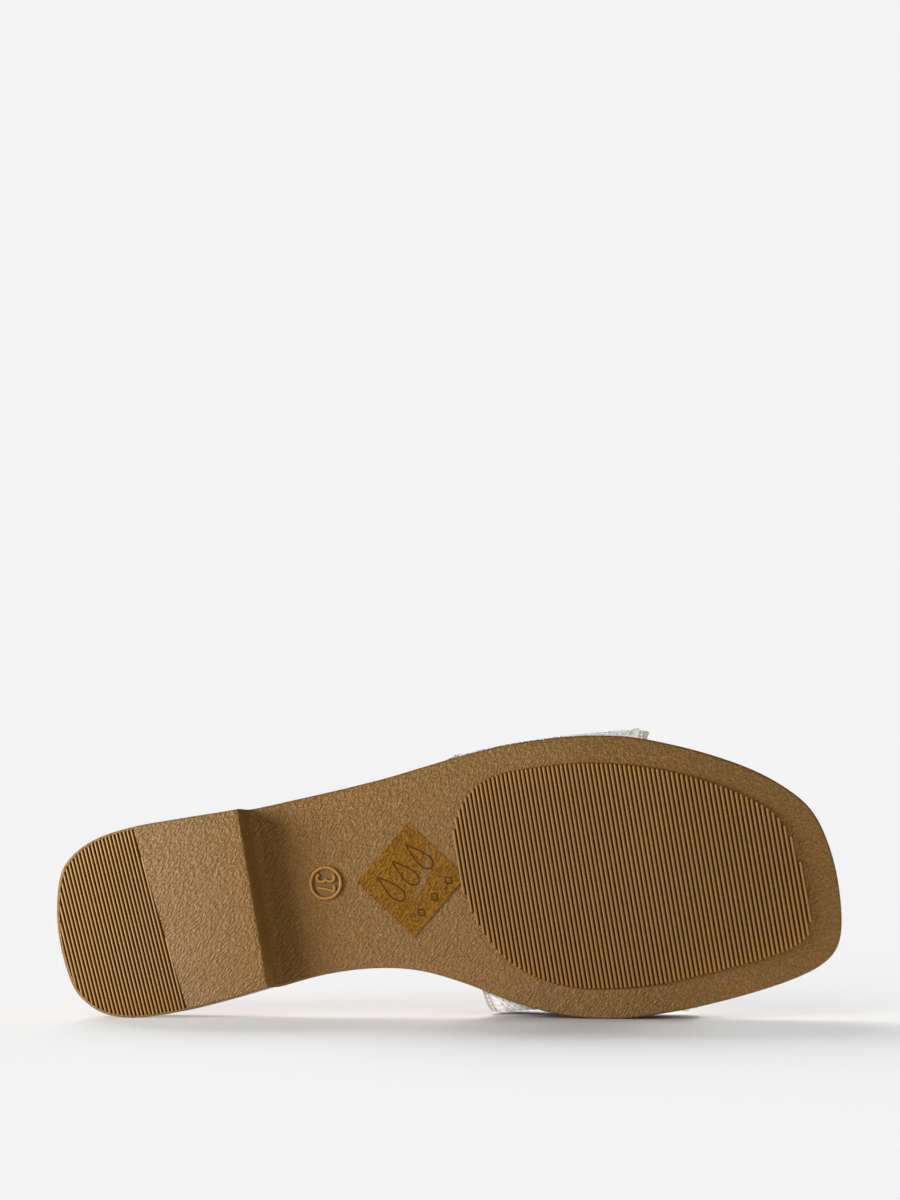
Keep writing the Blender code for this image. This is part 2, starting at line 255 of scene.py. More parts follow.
# Widths along the strap's edges, and where its tucked ends pass into the arch
LINING_LAP = 0.5
WEAVE_MARGIN = 1.6
WEAVE_EASE = 0.8
BAND_MARGIN = 1.2
FOLD_LAP = 0.3
EDGE_DROP = 0.4
EDGE_DROP_WIDTH = 0.7
EDGE_BULGE = 0.35
TUCK_END = 0.9
TUCK_EASE = 0.02

# Cord and stitches along the strap's edges
WRAP_SLANT = 0.28
WRAP_ROUND = 0.7
WRAP_GROOVE = 0.45
THREAD_INSET = 0.95
THREAD_WIDTH = 0.5
THREAD_HEIGHT = 0.24
THREAD_ROOT = 0.15
STITCH_SHARE = 0.68

# Values of the materials: textures, tones against a piece's own colour, and roughness
GRAIN_LEAN = math.radians(-45.0)
GRAIN_STRETCH = 2.6
SOLE_GRAIN = 2100.0
SOLE_BUMP = 0.0009
NOISE_RANGE = (0.3, 0.7)
HOLE_RANGE = (-0.45, -0.9)
# Ribs and the raised size mark are a lighter copy of the tan: painted light on their tops
RAISED_PAINTED_LIGHT = 1.5
DISC_TONE = 0.6
DEEP_TONE = 0.7
RUBBED_TONE = 1.2
# Painted shade at the foot of the ribs and the raised marks, as a share of the dark tan
FOOT_SHADE = 0.12
# Where along the shoe the painted sheen on the heel begins and where it is full
PAINTED_SHEEN_RANGE = (-0.055, -0.085)
FILM_ALPHA = 0.56
FILM_DARK = 0.8
FILM_DEEP = 0.38
INK_LIGHT = 1.5
COVER_DARK = 0.9
YARN_DARK = 0.93
NAP_DARK = 0.82
GRAINED_FLECKS = (0.2, 1.0)
SMOOTH_FLECKS = (0.8, 1.0)
COVER_FLECKS = (0.35, 1.0)
# How far the film turns to its painted highlight, at most, along its wrinkle
PAINTED_HIGHLIGHT_RANGE = (0.0, 0.6)
SOLE_ROUGHNESS = (0.58, 0.46)
FILM_ROUGHNESS = (0.36, 0.48)
COVER_ROUGHNESS = (0.68, 0.54)
SHEEN = 0.15

# Floor, camera and lights, in metres and degrees, the picture in pixels and the sensor in millimetres
FLOOR_RADIUS = 1.4
FLOOR_FADE = (0.75, 1.25)
AIM = Vector((0.0, -0.030, 0.044))
AIM_FROM_CENTRE = (-6.83, -275.07)
PICTURE_LONG_SIDE = 1200
SENSOR_WIDTH = 36.0
LAMP_SIZE = 0.2
Sun = namedtuple("Sun", "setting angle toward lit shaded_by")
Lamp = namedtuple("Lamp", "setting aim toward distance")
SUNS = [
    Sun("back", 28.0, (-0.18, 0.86, 0.45), "floor", "strap"),
    Sun("heel_back", 28.0, (-0.60, 0.68, 0.42), "floor", "strap"),
    Sun("toe_back", 28.0, (0.50, 0.76, 0.42), "floor", "strap"),
    Sun("side", 34.0, (-0.45, 0.78, 0.43), "floor", None),
    Sun("front", 50.0, (-0.15, -0.90, 0.38), "floor", None),
    Sun("dome", 165.0, (0.0, -0.15, 1.0), "floor", None),
    Sun("rim", 35.0, (-0.40, 0.80, 0.48), "upper", None),
    Sun("edge", 35.0, (-0.40, 0.80, 0.48), "sole", None),
    Sun("strap_low", 6.0, (0.35, -0.93, 0.03), "strap", None),
]
LAMPS = [
    Lamp("key", (-0.09, -0.035, 0.045), (-0.80, -0.55, 0.20), 0.28),
    Lamp("fill", (0.10, -0.035, 0.04), (0.70, -0.68, 0.10), 0.40),
]


def srgb(red, green, blue):
    """A colour given in the 0 to 255 values of a picture, as linear values."""
    linear = []
    for value in (red, green, blue):
        share = value / 255
        linear.append(share / 12.92 if share <= 0.04045 else ((share + 0.055) / 1.055) ** 2.4)
    return tuple(linear)


def length_prop(name, description, millimetres):
    """A size that a user can change, kept in metres."""
    return FloatProperty(
        name=name, description=description, default=millimetres * MM, min=0.0, unit="LENGTH", precision=5)


def colour_prop(name, description, colour):
    """A colour that a user can change."""
    return FloatVectorProperty(
        name=name, description=description, default=colour, min=0.0, max=1.0, subtype="COLOR")


def angle_prop(name, description, degrees):
    """An angle that a user can change."""
    return FloatProperty(name=name, description=description, default=math.radians(degrees), subtype="ANGLE")


def light_prop(name, description, strength, **more):
    """The strength of a light that a user can change."""
    return FloatProperty(name=name, description=description, default=strength, min=0.0, **more)


class SandalSole(bpy.types.PropertyGroup):
    """Sizes and colours of the moulded sole"""

    edge_round: length_prop("Edge round", "Radius of the edge round the tread", 0.8)
    rib_pitch: length_prop("Rib pitch", "Distance between forefoot ribs, along the shoe", 1.43)
    rib_width: length_prop("Rib width", "Width of a forefoot rib at its foot", 1.08)
    rib_height: length_prop("Rib height", "Height of a forefoot rib", 1.0)
    heel_rib_pitch: length_prop("Heel rib pitch", "Distance between heel ribs, along the shoe", 1.28)
    heel_rib_width: length_prop("Heel rib width", "Width of a heel rib at its foot", 0.82)
    heel_groove: length_prop("Heel groove", "Depth of the grooves between the heel ribs", 1.1)
    mark_height: length_prop("Mark height", "Height of the size ring and its number", 0.95)
    light_tan: colour_prop("Light tan", "Sole colour where it is lightest", (0.31, 0.143, 0.015))
    dark_tan: colour_prop("Dark tan", "Sole colour where it is darkest", (0.27, 0.122, 0.010))
    # Paler tan on the heel: a painted sheen where the key light glances off it
    heel_painted_sheen: colour_prop("Heel tan", "Sole colour on the heel, where it is paler", (0.285, 0.155, 0.042))
    film_amber: colour_prop("Film", "Colour of the protective film", (0.54, 0.229, 0.008))
    film_ink: colour_prop("Film marks", "Colour of the marks on the film", (0.055, 0.024, 0.003))
    # Pale colour along the film's wrinkle: a painted highlight
    film_painted_highlight: colour_prop(
        "Film haze", "Colour of the film where it has come off the sole", (0.36, 0.26, 0.17))


class SandalInsole(bpy.types.PropertyGroup):
    """Colours of the insole's cover"""

    cover: colour_prop("Cover", "Insole cover", srgb(196, 158, 120))
    cover_shade: colour_prop("Cover shade", "Insole cover in its creases", srgb(170, 130, 94))


class SandalStrap(bpy.types.PropertyGroup):
    """Sizes and colours of the woven strap and its edges"""

    weave_pitch: length_prop("Weave pitch", "Distance between neighbouring holes in a row", 1.9)
    weave_rows: length_prop("Weave rows", "Distance between rows of holes", 2.2)
    weave_depth: length_prop("Weave depth", "Depth of the weave's relief", 0.5)
    edge_band: length_prop("Edge band", "Width of the folded band along each edge", 2.5)
    cord_width: length_prop("Cord width", "Width of the wrapped cord along each edge", 2.7)
    cord_height: length_prop("Cord height", "Thickness of the wrapped cord", 1.5)
    wrap_pitch: length_prop("Wrap pitch", "Distance between the cord's wraps", 2.4)
    stitch_pitch: length_prop("Stitch pitch", "Distance between edge stitches", 1.7)
    white: colour_prop("White", "Woven yarn", srgb(240, 237, 232))
    # Holes between the yarns: darker partly from what shows through them, partly from painted shade
    hollow_and_shade: colour_prop("Hollow", "Holes between the yarns", srgb(170, 161, 153))
    band: colour_prop("Band", "Folded band along the edges", srgb(190, 180, 168))
    thread: colour_prop("Thread", "Edge stitches", srgb(238, 232, 224))
    lining: colour_prop("Lining", "Lining inside the strap", srgb(190, 148, 112))
    lining_shade: colour_prop("Lining shade", "Lining between its threads", srgb(158, 116, 82))


class SandalStage(bpy.types.PropertyGroup):
    """Floor, lights and camera"""

    distance: length_prop("Camera distance", "From the camera to the middle of the sole", 1500.0)
    turn: angle_prop("Camera turn", "How far the camera stands towards the toe", 13.0)
    rise: angle_prop("Camera rise", "Camera angle above the floor", 1.5)
    roll: angle_prop("Camera roll", "Turn of the picture", -0.583)
    lens: FloatProperty(
        name="Lens", description="Focal length on a 36 mm wide sensor", default=145.35, min=1.0,
        subtype="DISTANCE_CAMERA")
    key: light_prop("Key light", "Power of the light beside the heel", 1.3, unit="POWER")
    fill: light_prop("Fill light", "Power of the light beside the toe", 0.45, unit="POWER")
    strap_low: light_prop("Strap light", "Strength of the low light on the strap", 3.4)
    rim: light_prop("Rim light", "Strength of the light on insole and strap from behind", 2.1)
    edge: light_prop("Edge light", "Strength of the light on the sole from behind", 0.5)
    back: light_prop("Back light", "Strength of the floor light that only the strap shades", 2.05)
    heel_back: light_prop("Back light, heel side", "Strength of its neighbour towards the heel", 0.34)
    toe_back: light_prop("Back light, toe side", "Strength of its neighbour towards the toe", 0.47)
    side: light_prop("Side light", "Strength of the floor light from behind that all pieces shade", 2.20)
    front: light_prop("Front light", "Strength of the low light on the floor from the front", 1.24)
    dome: light_prop("Dome light", "Strength of the wide light on the floor from above", 0.20)
    sky: light_prop("Sky", "Strength of the even light from all sides", 0.12)
    backdrop: light_prop("Backdrop", "Brightness behind the shoe", 0.896)
    floor: colour_prop("Floor", "Floor colour", (0.86, 0.86, 0.86))


def unit(vectors):
    """Vectors of length one."""
    return vectors / np.maximum(np.linalg.norm(vectors, axis=-1, keepdims=True), 1e-12)


def row_value(rows, column, along):
    """A smooth curve through one column of a table."""
    at = np.array([row.along for row in rows])
    value = np.array([getattr(row, column) for row in rows])
    slope = np.gradient(value, at)
    index = np.clip(np.searchsorted(at, along) - 1, 0, len(at) - 2)
    span = at[index + 1] - at[index]
    t = np.clip((along - at[index]) / span, 0.0, 1.0)
    start = (1 + 2 * t) * (1 - t) ** 2 * value[index] + t * (1 - t) ** 2 * span * slope[index]
    end = t * t * (3 - 2 * t) * value[index + 1] - t * t * (1 - t) * span * slope[index + 1]
    return start + end


def between(first, second, low, high, at):
    """The point at a knot value, on the straight line through two points with their own knots."""
    return (first * (high - at) + second * (at - low)) / (high - low)


def closed_curve(points, steps):
    """A smooth closed curve through the points, with knots spaced so that it doesn't overshoot."""
    curve = []
    count = len(points)
    for index in range(count):
        near = [points[(index + offset) % count] for offset in (-1, 0, 1, 2)]
        knots = [0.0]
        for first, second in zip(near, near[1:]):
            knots.append(knots[-1] + math.sqrt(np.linalg.norm(second - first)))
        for at in np.linspace(knots[1], knots[2], steps, endpoint=False):
            chords = [between(near[k], near[k + 1], knots[k], knots[k + 1], at) for k in range(3)]
            arcs = [between(chords[k], chords[k + 1], knots[k], knots[k + 2], at) for k in range(2)]
            curve.append(between(arcs[0], arcs[1], knots[1], knots[2], at))
    return np.array(curve)


def plan_curve(rows, rear_tip, front_tip):
    """The closed outline of a table of half widths, in plan."""
    outer = [(row.along, -row.outer) for row in rows]
    inner = [(row.along, row.inner) for row in reversed(rows)]
    marks = np.array([rear_tip] + outer + [front_tip] + inner)
    marks[:, 0] += marks[:, 1] * SECTION_SKEW
    return closed_curve(marks, CURVE_STEPS)


class SoleEdge:
    """The outline of the sole, read at any section line."""

    def __init__(self):
        self.curve = plan_curve(PLAN, (0.0, HEEL_BACK_ACROSS), (SOLE_LENGTH, TOE_TIP_ACROSS))
        tangent = unit(np.roll(self.curve, -1, axis=0) - np.roll(self.curve, 1, axis=0))
        self.inward = np.column_stack([-tangent[:, 1], tangent[:, 0]])
        half = (len(PLAN) + 1) * CURVE_STEPS
        closed = np.arange(len(self.curve) + 1) % len(self.curve)
        self.sides = {}
        for side, order in (("outer", closed[:half + 1]), ("inner", closed[half:][::-1])):
            self.sides[side] = (self.curve[order], self.inward[order])

    def place(self, side, along):
        """Where a section line meets one side, counted in steps from the heel's back."""
        points = self.sides[side][0]
        first, last = PLAN[0].along, PLAN[-1].along
        end = len(points) - 1
        if along < first:
            return CURVE_STEPS * math.sqrt(max(along, 0.0) / first)
        if along > last:
            return end - CURVE_STEPS * math.sqrt(max(SOLE_LENGTH - along, 0.0) / (SOLE_LENGTH - last))
        steps = np.arange(CURVE_STEPS, end - CURVE_STEPS + 1)
        return np.interp(along, (points[:, 0] - points[:, 1] * SECTION_SKEW)[steps], steps)

    def rim(self, side, along, inset):
        """The edge point on a section line, moved square to the edge into the sole."""
        points, inward = self.sides[side]
        place = self.place(side, along)
        steps = np.arange(len(points))
        point = [np.interp(place, steps, points[:, k]) for k in (0, 1)]
        turn = [np.interp(place, steps, inward[:, k]) for k in (0, 1)]
        return np.array(point) + inset * np.array(turn)

    def across(self, side, along, inset):
        """Where a line that runs parallel to the edge crosses a section line."""
        points, inward = self.sides[side]
        moved = points + inset * inward
        at = moved[:, 0] - moved[:, 1] * SECTION_SKEW
        near = np.abs(points[:, 0] - points[:, 1] * SECTION_SKEW - along) < SEARCH_REACH * (1 + inset)
        return float(np.interp(along, at[near], moved[near, 1]))


def lying_placement(edge):
    """How the standing shoe lies, read from the heel's tread in the frame's outsole.

    The rows of the first result are the standing shoe's axes, and the second is its shift.
    """
    mesh = frame["nodes"]["outsole"].data
    tread = [face for face in mesh.polygons
             if face.normal.y < TREAD_FACING and face.center.x < HEEL_FACES_BEHIND]
    down = unit(sum(face.area * np.array(face.normal) for face in tread))
    area = sum(face.area for face in tread)
    level = sum(face.area * np.dot(face.center, down) for face in tread) / area / MM
    forward = unit(np.array([down[2], 0.0, -down[0]]))
    inner = np.cross(-down, forward)
    axes = np.array([forward, inner, -down])
    corners = np.array([vertex.co for vertex in mesh.vertices]) @ axes[:2].T / MM
    middle = (corners.min(axis=0) + corners.max(axis=0)) / 2
    outline = (edge.curve.min(axis=0) + edge.curve.max(axis=0)) / 2
    shift = np.array([*(middle - outline), -level]) @ axes
    return axes, shift


EDGE = SoleEdge()
LYING_AXES, LYING_SHIFT = lying_placement(EDGE)


def laid(points):
    """Points of the standing shoe, in millimetres, as places on the lying one, in metres."""
    return (np.asarray(points) @ LYING_AXES + LYING_SHIFT) * MM


def underside(plan):
    """Height of the sole's underside ahead of the heel, at points in plan."""
    plan = np.asarray(plan)
    return row_value(SIDE, "underside", plan[..., 0] - plan[..., 1] * SECTION_SKEW)


def on_underside(plan, lift=0.0):
    """Points in plan, put on the sole's underside, or a little off it."""
    return np.column_stack([plan, underside(plan) - lift])


class Shape:
    """Points and faces gathered for one piece, and texture places if it has any."""

    def __init__(self):
        self.points = []
        self.faces = []
        self.places = []
        self.count = 0

    def add(self, points, faces):
        self.faces += [[index + self.count for index in face] for face in faces]
        self.points.append(points)
        self.count += len(points)

    def add_bead(self, line, width, height, root, power, closed=False, fullness=BEAD_FULLNESS):
        """A bead on the sole's underside, with places from zero at its foot to one along its top."""
        points, faces = bead(line, np.tile(DOWN, (len(line), 1)), width, height, root, closed, fullness)
        rise = line[:, None, 2] - points.reshape(len(line), -1, 3)[..., 2]
        share = np.clip(rise / rise.max(axis=1, keepdims=True), 0.0, 1.0).ravel() ** power
        self.places.append(np.column_stack([share, np.zeros(len(share))]))
        self.add(points, faces)

    def piece(self, name, materials, slot, **more):
        """The finished piece."""
        places = np.vstack(self.places) if self.places else None
        return add_piece(name, np.vstack(self.points), self.faces, materials, slot, places=places, **more)


def add_piece(name, points, faces, materials, slot, sharp=SHARP_ANGLE, places=None, finish=None):
    """A piece of the shoe that rides on its body.

    places holds a texture place for each point, and finish a material number for each face.
    """
    mesh = bpy.data.meshes.new(name)
    mesh.from_pydata(laid(points).tolist(), [], faces)
    if places is not None:
        layer = mesh.uv_layers.new(name="places")
        corner = np.zeros(len(mesh.loops), int)
        mesh.loops.foreach_get("vertex_index", corner)
        layer.data.foreach_set("uv", np.asarray(places)[corner].ravel())
    if finish is not None:
        mesh.polygons.foreach_set("material_index", finish)
    for material in materials:
        mesh.materials.append(material)
    clean_mesh(mesh, sharp)
    piece = bpy.data.objects.new(name, mesh)
    bpy.context.scene.collection.objects.link(piece)
    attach(piece, BODY)
    return piece


def clean_mesh(mesh, sharp):
    """Weld what coincides, turn all faces outward and shade the mesh."""
    bm = bmesh.new()
    bm.from_mesh(mesh)
    bmesh.ops.remove_doubles(bm, verts=bm.verts, dist=WELD * MM)
    bmesh.ops.recalc_face_normals(bm, faces=bm.faces)
    bm.to_mesh(mesh)
    bm.free()
    mesh.shade_smooth()
    mesh.set_sharp_from_angle(angle=sharp)


def loft_faces(rings, around, closed=True):
    """Faces that join rings of points, one after the other."""
    faces = []
    for ring in range(rings - 1):
        for k in range(around if closed else around - 1):
            after = (k + 1) % around
            faces.append([ring * around + k, ring * around + after,
                          (ring + 1) * around + after, (ring + 1) * around + k])
    return faces


def run_along(line):
    """Length from the start of a line to each of its points."""
    return np.concatenate([[0.0], np.cumsum(np.linalg.norm(np.diff(line, axis=0), axis=1))])


def read_at(at, run, values):
    """Rows of values, read between the places where they are known."""
    return np.column_stack([np.interp(at, run, column) for column in values.T])


def bead(centres, normals, width, height, root, closed=False, fullness=BEAD_FULLNESS):
    """Points and faces of a low round bead that follows a line on a surface."""
    if closed:
        step = np.roll(centres, -1, axis=0) - np.roll(centres, 1, axis=0)
        scale = np.ones(len(centres))
    else:
        step = np.gradient(centres, axis=0)
        run = run_along(centres)
        reach = np.clip(np.minimum(run, run[-1] - run) / (width / 2), 0.0, 1.0)
        scale = np.maximum(np.sqrt(1 - (1 - reach) ** 2), BEAD_TIP)
    side = unit(np.cross(normals, step))
    angles = np.linspace(0.0, math.pi, BEAD_STEPS)
    spread = np.sign(np.cos(angles)) * np.abs(np.cos(angles)) ** fullness * width / 2
    rise = np.sin(angles) ** fullness * height
    spread = np.concatenate([spread, [-width / 2, width / 2]])
    points = centres[:, None] + (scale[:, None] * spread)[..., None] * side[:, None]
    up = np.concatenate([scale[:, None] * rise, np.full((len(centres), 2), -root)], axis=1)
    points = points + up[..., None] * normals[:, None]
    return points.reshape(-1, 3), tube_faces(len(centres), len(spread), closed)


def tube_faces(rings, around, joined=False):
    """Faces of a tube of rings, with flat ends or with its last ring joined to its first."""
    last = (rings - 1) * around
    faces = loft_faces(rings, around)
    if not joined:
        return faces + [list(range(around)), list(range(last, last + around))]
    for k in range(around):
        after = (k + 1) % around
        faces.append([last + k, last + after, after, k])
    return faces


def resample(points, step):
    """The same line with evenly spaced points, by the length of its first three columns."""
    run = run_along(points[:, :3])
    count = max(int(round(run[-1] / step)), 1) + 1
    at = np.linspace(0.0, run[-1], count)
    return read_at(at, run, points), at


def bar_line(start, end, width):
    """Points along a straight bar, closer together in its round ends."""
    length = np.linalg.norm(end - start)
    tip = BAR_TIP * min(width, length) / 2
    inside = np.linspace(tip[-1], length - tip[-1], max(int(length / BAR_STEP), 2) + 1)[1:-1]
    at = np.concatenate([tip, inside, length - tip[::-1]]) / length
    return start + at[:, None] * (end - start)


def chord(outline, point, direction):
    """How far from a point a straight line enters and leaves an outline, or None if it misses."""
    after = np.roll(outline, -1, axis=0)
    square = np.array([-direction[1], direction[0]])
    first = (outline - point) @ square
    second = (after - point) @ square
    crossing = (first > 0) != (second > 0)
    if crossing.sum() < 2:
        return None
    share = first[crossing] / (first[crossing] - second[crossing])
    hits = outline[crossing] + share[:, None] * (after - outline)[crossing]
    along = (hits - point) @ direction
    return along.min(), along.max()


def ribs_in(outline, pitch, lean, extend=0.0):
    """The two ends of each rib that crosses an outline."""
    direction = np.array([math.sin(lean), math.cos(lean)])
    middle = outline.mean(axis=0)
    reach = np.ptp(outline[:, 0])
    ribs = []
    for k in range(-int(reach / pitch), int(reach / pitch) + 1):
        point = middle + np.array([k * pitch, 0.0])
        span = chord(outline, point, direction)
        if span and span[1] - span[0] > RIB_LEAST:
            ribs.append((point + (span[0] - extend) * direction, point + (span[1] + extend) * direction))
    return ribs


def heel_zone():
    """The outline of the heel's ribbed part."""
    outline = EDGE.curve + HEEL_RIM * EDGE.inward
    outline[:, 0] += HEEL_ZONE_SHIFT
    direction = unit(HEEL_LINE[1] - HEEL_LINE[0])
    square = np.array([direction[1], -direction[0]])
    ahead = (outline - HEEL_LINE[0]) @ square
    kept = []
    for k in range(len(outline)):
        after = (k + 1) % len(outline)
        if ahead[k] <= 0:
            kept.append(outline[k])
        if (ahead[k] <= 0) != (ahead[after] <= 0):
            share = ahead[k] / (ahead[k] - ahead[after])
            kept.append(outline[k] + share * (outline[after] - outline[k]))
    return np.array(kept)


def sole_stations(edge_round):
    """Section lines from heel to toe, close together at both ends and at the heel's breast."""
    levels = []
    for angle in np.linspace(0.0, math.pi / 2, HEEL_STATIONS):
        levels.append(((BREAST_AT - edge_round) * (1 - math.cos(angle)), 0.0))
    for angle in np.linspace(0.0, math.pi / 2, ROUND_STEPS + 1)[1:]:
        levels.append((BREAST_AT - edge_round * (1 - math.sin(angle)), edge_round * (1 - math.cos(angle))))
    rise = float(row_value(SIDE, "underside", BREAST_AT + BREAST_FILLET))
    wall_top = rise - BREAST_FILLET
    for share in (0.5, 1.0):
        levels.append((BREAST_AT + BREAST_LEAN * share, between(edge_round, wall_top, 0.0, 1.0, share)))
    foot = BREAST_AT + BREAST_LEAN
    for angle in np.linspace(0.0, math.pi / 2, 2 * ROUND_STEPS + 1)[1:]:
        level = wall_top + BREAST_FILLET * math.sin(angle)
        levels.append((foot + BREAST_FILLET * (1 - math.cos(angle)), level))
    start = foot + BREAST_FILLET + FILLET_RUNOUT
    for angle in np.linspace(0.0, math.pi / 2, FORE_STATIONS):
        along = start + (SOLE_LENGTH - start) * math.sin(angle)
        levels.append((along, float(row_value(SIDE, "underside", along))))
    return [Station(along, tread, float(row_value(SIDE, "seat", along))) for along, tread in levels]


def spread_points(first, last, shares):
    """Points along the straight line from one edge to the other."""
    shares = np.asarray(shares)[:, None]
    return first * (1 - shares) + last * shares


def edge_profile(edge_round, tread, seat):
    """Inset and height up the sole's side, between its two faces."""
    profile = []
    for angle in np.linspace(0.0, math.pi / 2, ROUND_STEPS + 1)[1:]:
        profile.append((edge_round * (1 - math.sin(angle)), tread + edge_round * (1 - math.cos(angle))))
    for angle in np.linspace(0.0, math.pi / 2, ROUND_STEPS)[:-1]:
        inset = WALL_DRAFT + RIM_ROUND * (1 - math.cos(angle))
        profile.append((inset, seat - RIM_ROUND * (1 - math.sin(angle))))
    return profile


def sole_rings(edge_round):
    """Closed sections of the sole."""
    shares = np.linspace(0.0, 1.0, SOLE_COLUMNS)
    rings = []
    for along, tread, seat in sole_stations(edge_round):
        profile = edge_profile(edge_round, tread, seat)
        top_inset = WALL_DRAFT + RIM_ROUND
        edges = [EDGE.rim(side, along, edge_round) for side in ("outer", "inner")]
        below = spread_points(*edges, shares)
        edges = [EDGE.rim(side, along, top_inset) for side in ("inner", "outer")]
        above = spread_points(*edges, shares)
        ring = [(*point, tread) for point in below]
        ring += [(*EDGE.rim("inner", along, inset), height) for inset, height in profile]
        ring += [(*point, seat) for point in above]
        ring += [(*EDGE.rim("outer", along, inset), height) for inset, height in reversed(profile)]
        rings.append(ring)
    return np.array(rings)


def cut_away(piece, name, outline, low, high):
    """Take an upright prism out of a piece."""
    count = len(outline)
    points = np.vstack([np.column_stack([outline, np.full(count, level)]) for level in (low, high)])
    mesh = bpy.data.meshes.new(name)
    mesh.from_pydata(laid(points).tolist(), [], tube_faces(2, count))
    clean_mesh(mesh, SHARP_ANGLE)
    cutter = bpy.data.objects.new(name, mesh)
    bpy.context.scene.collection.objects.link(cutter)
    modifier = piece.modifiers.new(name, "BOOLEAN")
    modifier.operation = "DIFFERENCE"
    modifier.solver = "EXACT"
    modifier.object = cutter
    bpy.context.view_layer.update()
    evaluated = piece.evaluated_get(bpy.context.evaluated_depsgraph_get())
    cut = bpy.data.meshes.new_from_object(evaluated)
    piece.modifiers.remove(modifier)
    uncut = piece.data
    piece.data = cut
    bpy.data.objects.remove(cutter)
    bpy.data.meshes.remove(uncut)
    bpy.data.meshes.remove(mesh)
    clean_mesh(cut, SHARP_ANGLE)
    cut.name = piece.name


def footbed_height(along, share):
    """How far the insole's upper face lies from flat: a shallow heel cup and an arch."""
    ease = min(along, SOLE_LENGTH - along, FOOTBED_EASE) / FOOTBED_EASE
    middle = 1 - (2 * share - 1) ** 2
    cup = -HEEL_CUP * middle * math.exp(-(along / BREAST_AT) ** 4)
    arch = ARCH_LIFT * share ** 2 * math.exp(-((along - ARCH_AT) / ARCH_REACH) ** 2)
    return ease * ease * (cup + arch)


def insole_stations():
    """Plain section lines, with a pair at each end of the strap's tuck."""
    start = STRAP[0].along - TUCK_MARGIN
    stop = STRAP[-1].along + TUCK_MARGIN
    ends = [start - TUCK_RAMP, start, stop, stop + TUCK_RAMP]
    angles = np.linspace(0.0, math.pi, FORE_STATIONS)
    plain = [SOLE_LENGTH / 2 * (1 - math.cos(angle)) for angle in angles]
    plain = [along for along in plain if min(abs(along - end) for end in ends) > TUCK_RAMP]
    return sorted(plain + ends), start, stop


def insole_rings():
    """Closed sections of the insole, its edge cut away below where the strap is tucked in."""
    stations, start, stop = insole_stations()
    tuck = STRAP_TUCK + STRAP_TURN + GAP
    plain_columns = SOLE_COLUMNS - 4
    face_inset = INSOLE_RIM + INSOLE_ROUND
    face_shares = np.linspace(0.0, 1.0, SOLE_COLUMNS)
    turns = np.linspace(0.0, math.pi / 2, ROUND_STEPS + 2)[:-1]
    rounded = [(INSOLE_ROUND * (1 - math.cos(a)), INSOLE_ROUND * (1 - math.sin(a))) for a in turns]
    rings = []
    for along in stations:
        seat = float(row_value(SIDE, "seat", along))
        outer = EDGE.rim("outer", along, INSOLE_RIM)
        inner = EDGE.rim("inner", along, INSOLE_RIM)
        width = inner[1] - outer[1]
        step = tuck / max(width, tuck / TUCK_SHARE_MAX)
        ramp = TUCK_RAMP / max(width, TUCK_RAMP / RAMP_SHARE_MAX)
        middle = list(np.linspace(step + ramp, 1 - step - ramp, plain_columns))
        low = seat + GAP
        high = low + (STRAP_WALL + GAP if start <= along <= stop else 0.0)
        heights = [high, high] + [low] * plain_columns + [high, high]
        floor = spread_points(outer, inner, [0.0, step] + middle + [1 - step, 1.0])
        ring = [(*point, height) for point, height in zip(floor, heights)]
        top = low + INSOLE_THICKNESS
        for inset, drop in rounded:
            height = top - drop + footbed_height(along, 1.0)
            ring.append((*EDGE.rim("inner", along, INSOLE_RIM + inset), height))
        face_ends = [EDGE.rim(side, along, face_inset) for side in ("inner", "outer")]
        for point, share in zip(spread_points(*face_ends, face_shares), face_shares):
            ring.append((*point, top + footbed_height(along, 1 - share)))
        for inset, drop in reversed(rounded):
            height = top - drop + footbed_height(along, 0.0)
            ring.append((*EDGE.rim("outer", along, INSOLE_RIM + inset), height))
        rings.append(ring)
    return np.array(rings)


def strap_half(row, side, floor):
    """Half a strap section, from the tucked end to the crown."""
    sign = 1.0 if side == "inner" else -1.0
    swell = row.swell_inner if side == "inner" else -row.swell_outer
    foot = EDGE.across(side, row.along, INSOLE_RIM - GAP - STRAP_WALL / 2)
    springing = floor + STRAP_TURN
    points = [(foot - sign * (STRAP_TURN + STRAP_TUCK), floor, 0.0)]
    for angle in np.linspace(0.0, math.pi / 2, TURN_STEPS, endpoint=False):
        back = STRAP_TURN * (1 - math.sin(angle))
        points.append((foot - sign * back, floor + STRAP_TURN * (1 - math.cos(angle)), 0.0))
    for share in np.linspace(0.0, 1.0, SIDE_STEPS, endpoint=False):
        points.append((foot + swell * (1 - (1 - share) ** 2), springing + share * row.belly, 0.0))
    for angle in np.linspace(0.0, math.pi / 2, CROWN_STEPS):
        reach = max(math.cos(angle), 0.0) ** STRAP_FULLNESS
        rise = math.sin(angle) ** STRAP_FULLNESS
        across = row.crown_across + (foot + swell - row.crown_across) * reach
        points.append((across, springing + row.belly + (row.crown - row.belly) * rise, row.rake * rise))
    return points


def strap_section(along):
    """The middle of the strap's wall on one section line, from the inner tuck to the outer one."""
    row = StrapRow(along, *[float(row_value(STRAP, column, along)) for column in StrapRow._fields[1:]])
    floor = float(row_value(SIDE, "seat", along)) + GAP + STRAP_WALL / 2
    line = np.array(strap_half(row, "inner", floor) + strap_half(row, "outer", floor)[-2::-1])
    forward = along + line[:, 0] * SECTION_SKEW + line[:, 2]
    return np.column_stack([forward, line[:, 0], line[:, 1]])


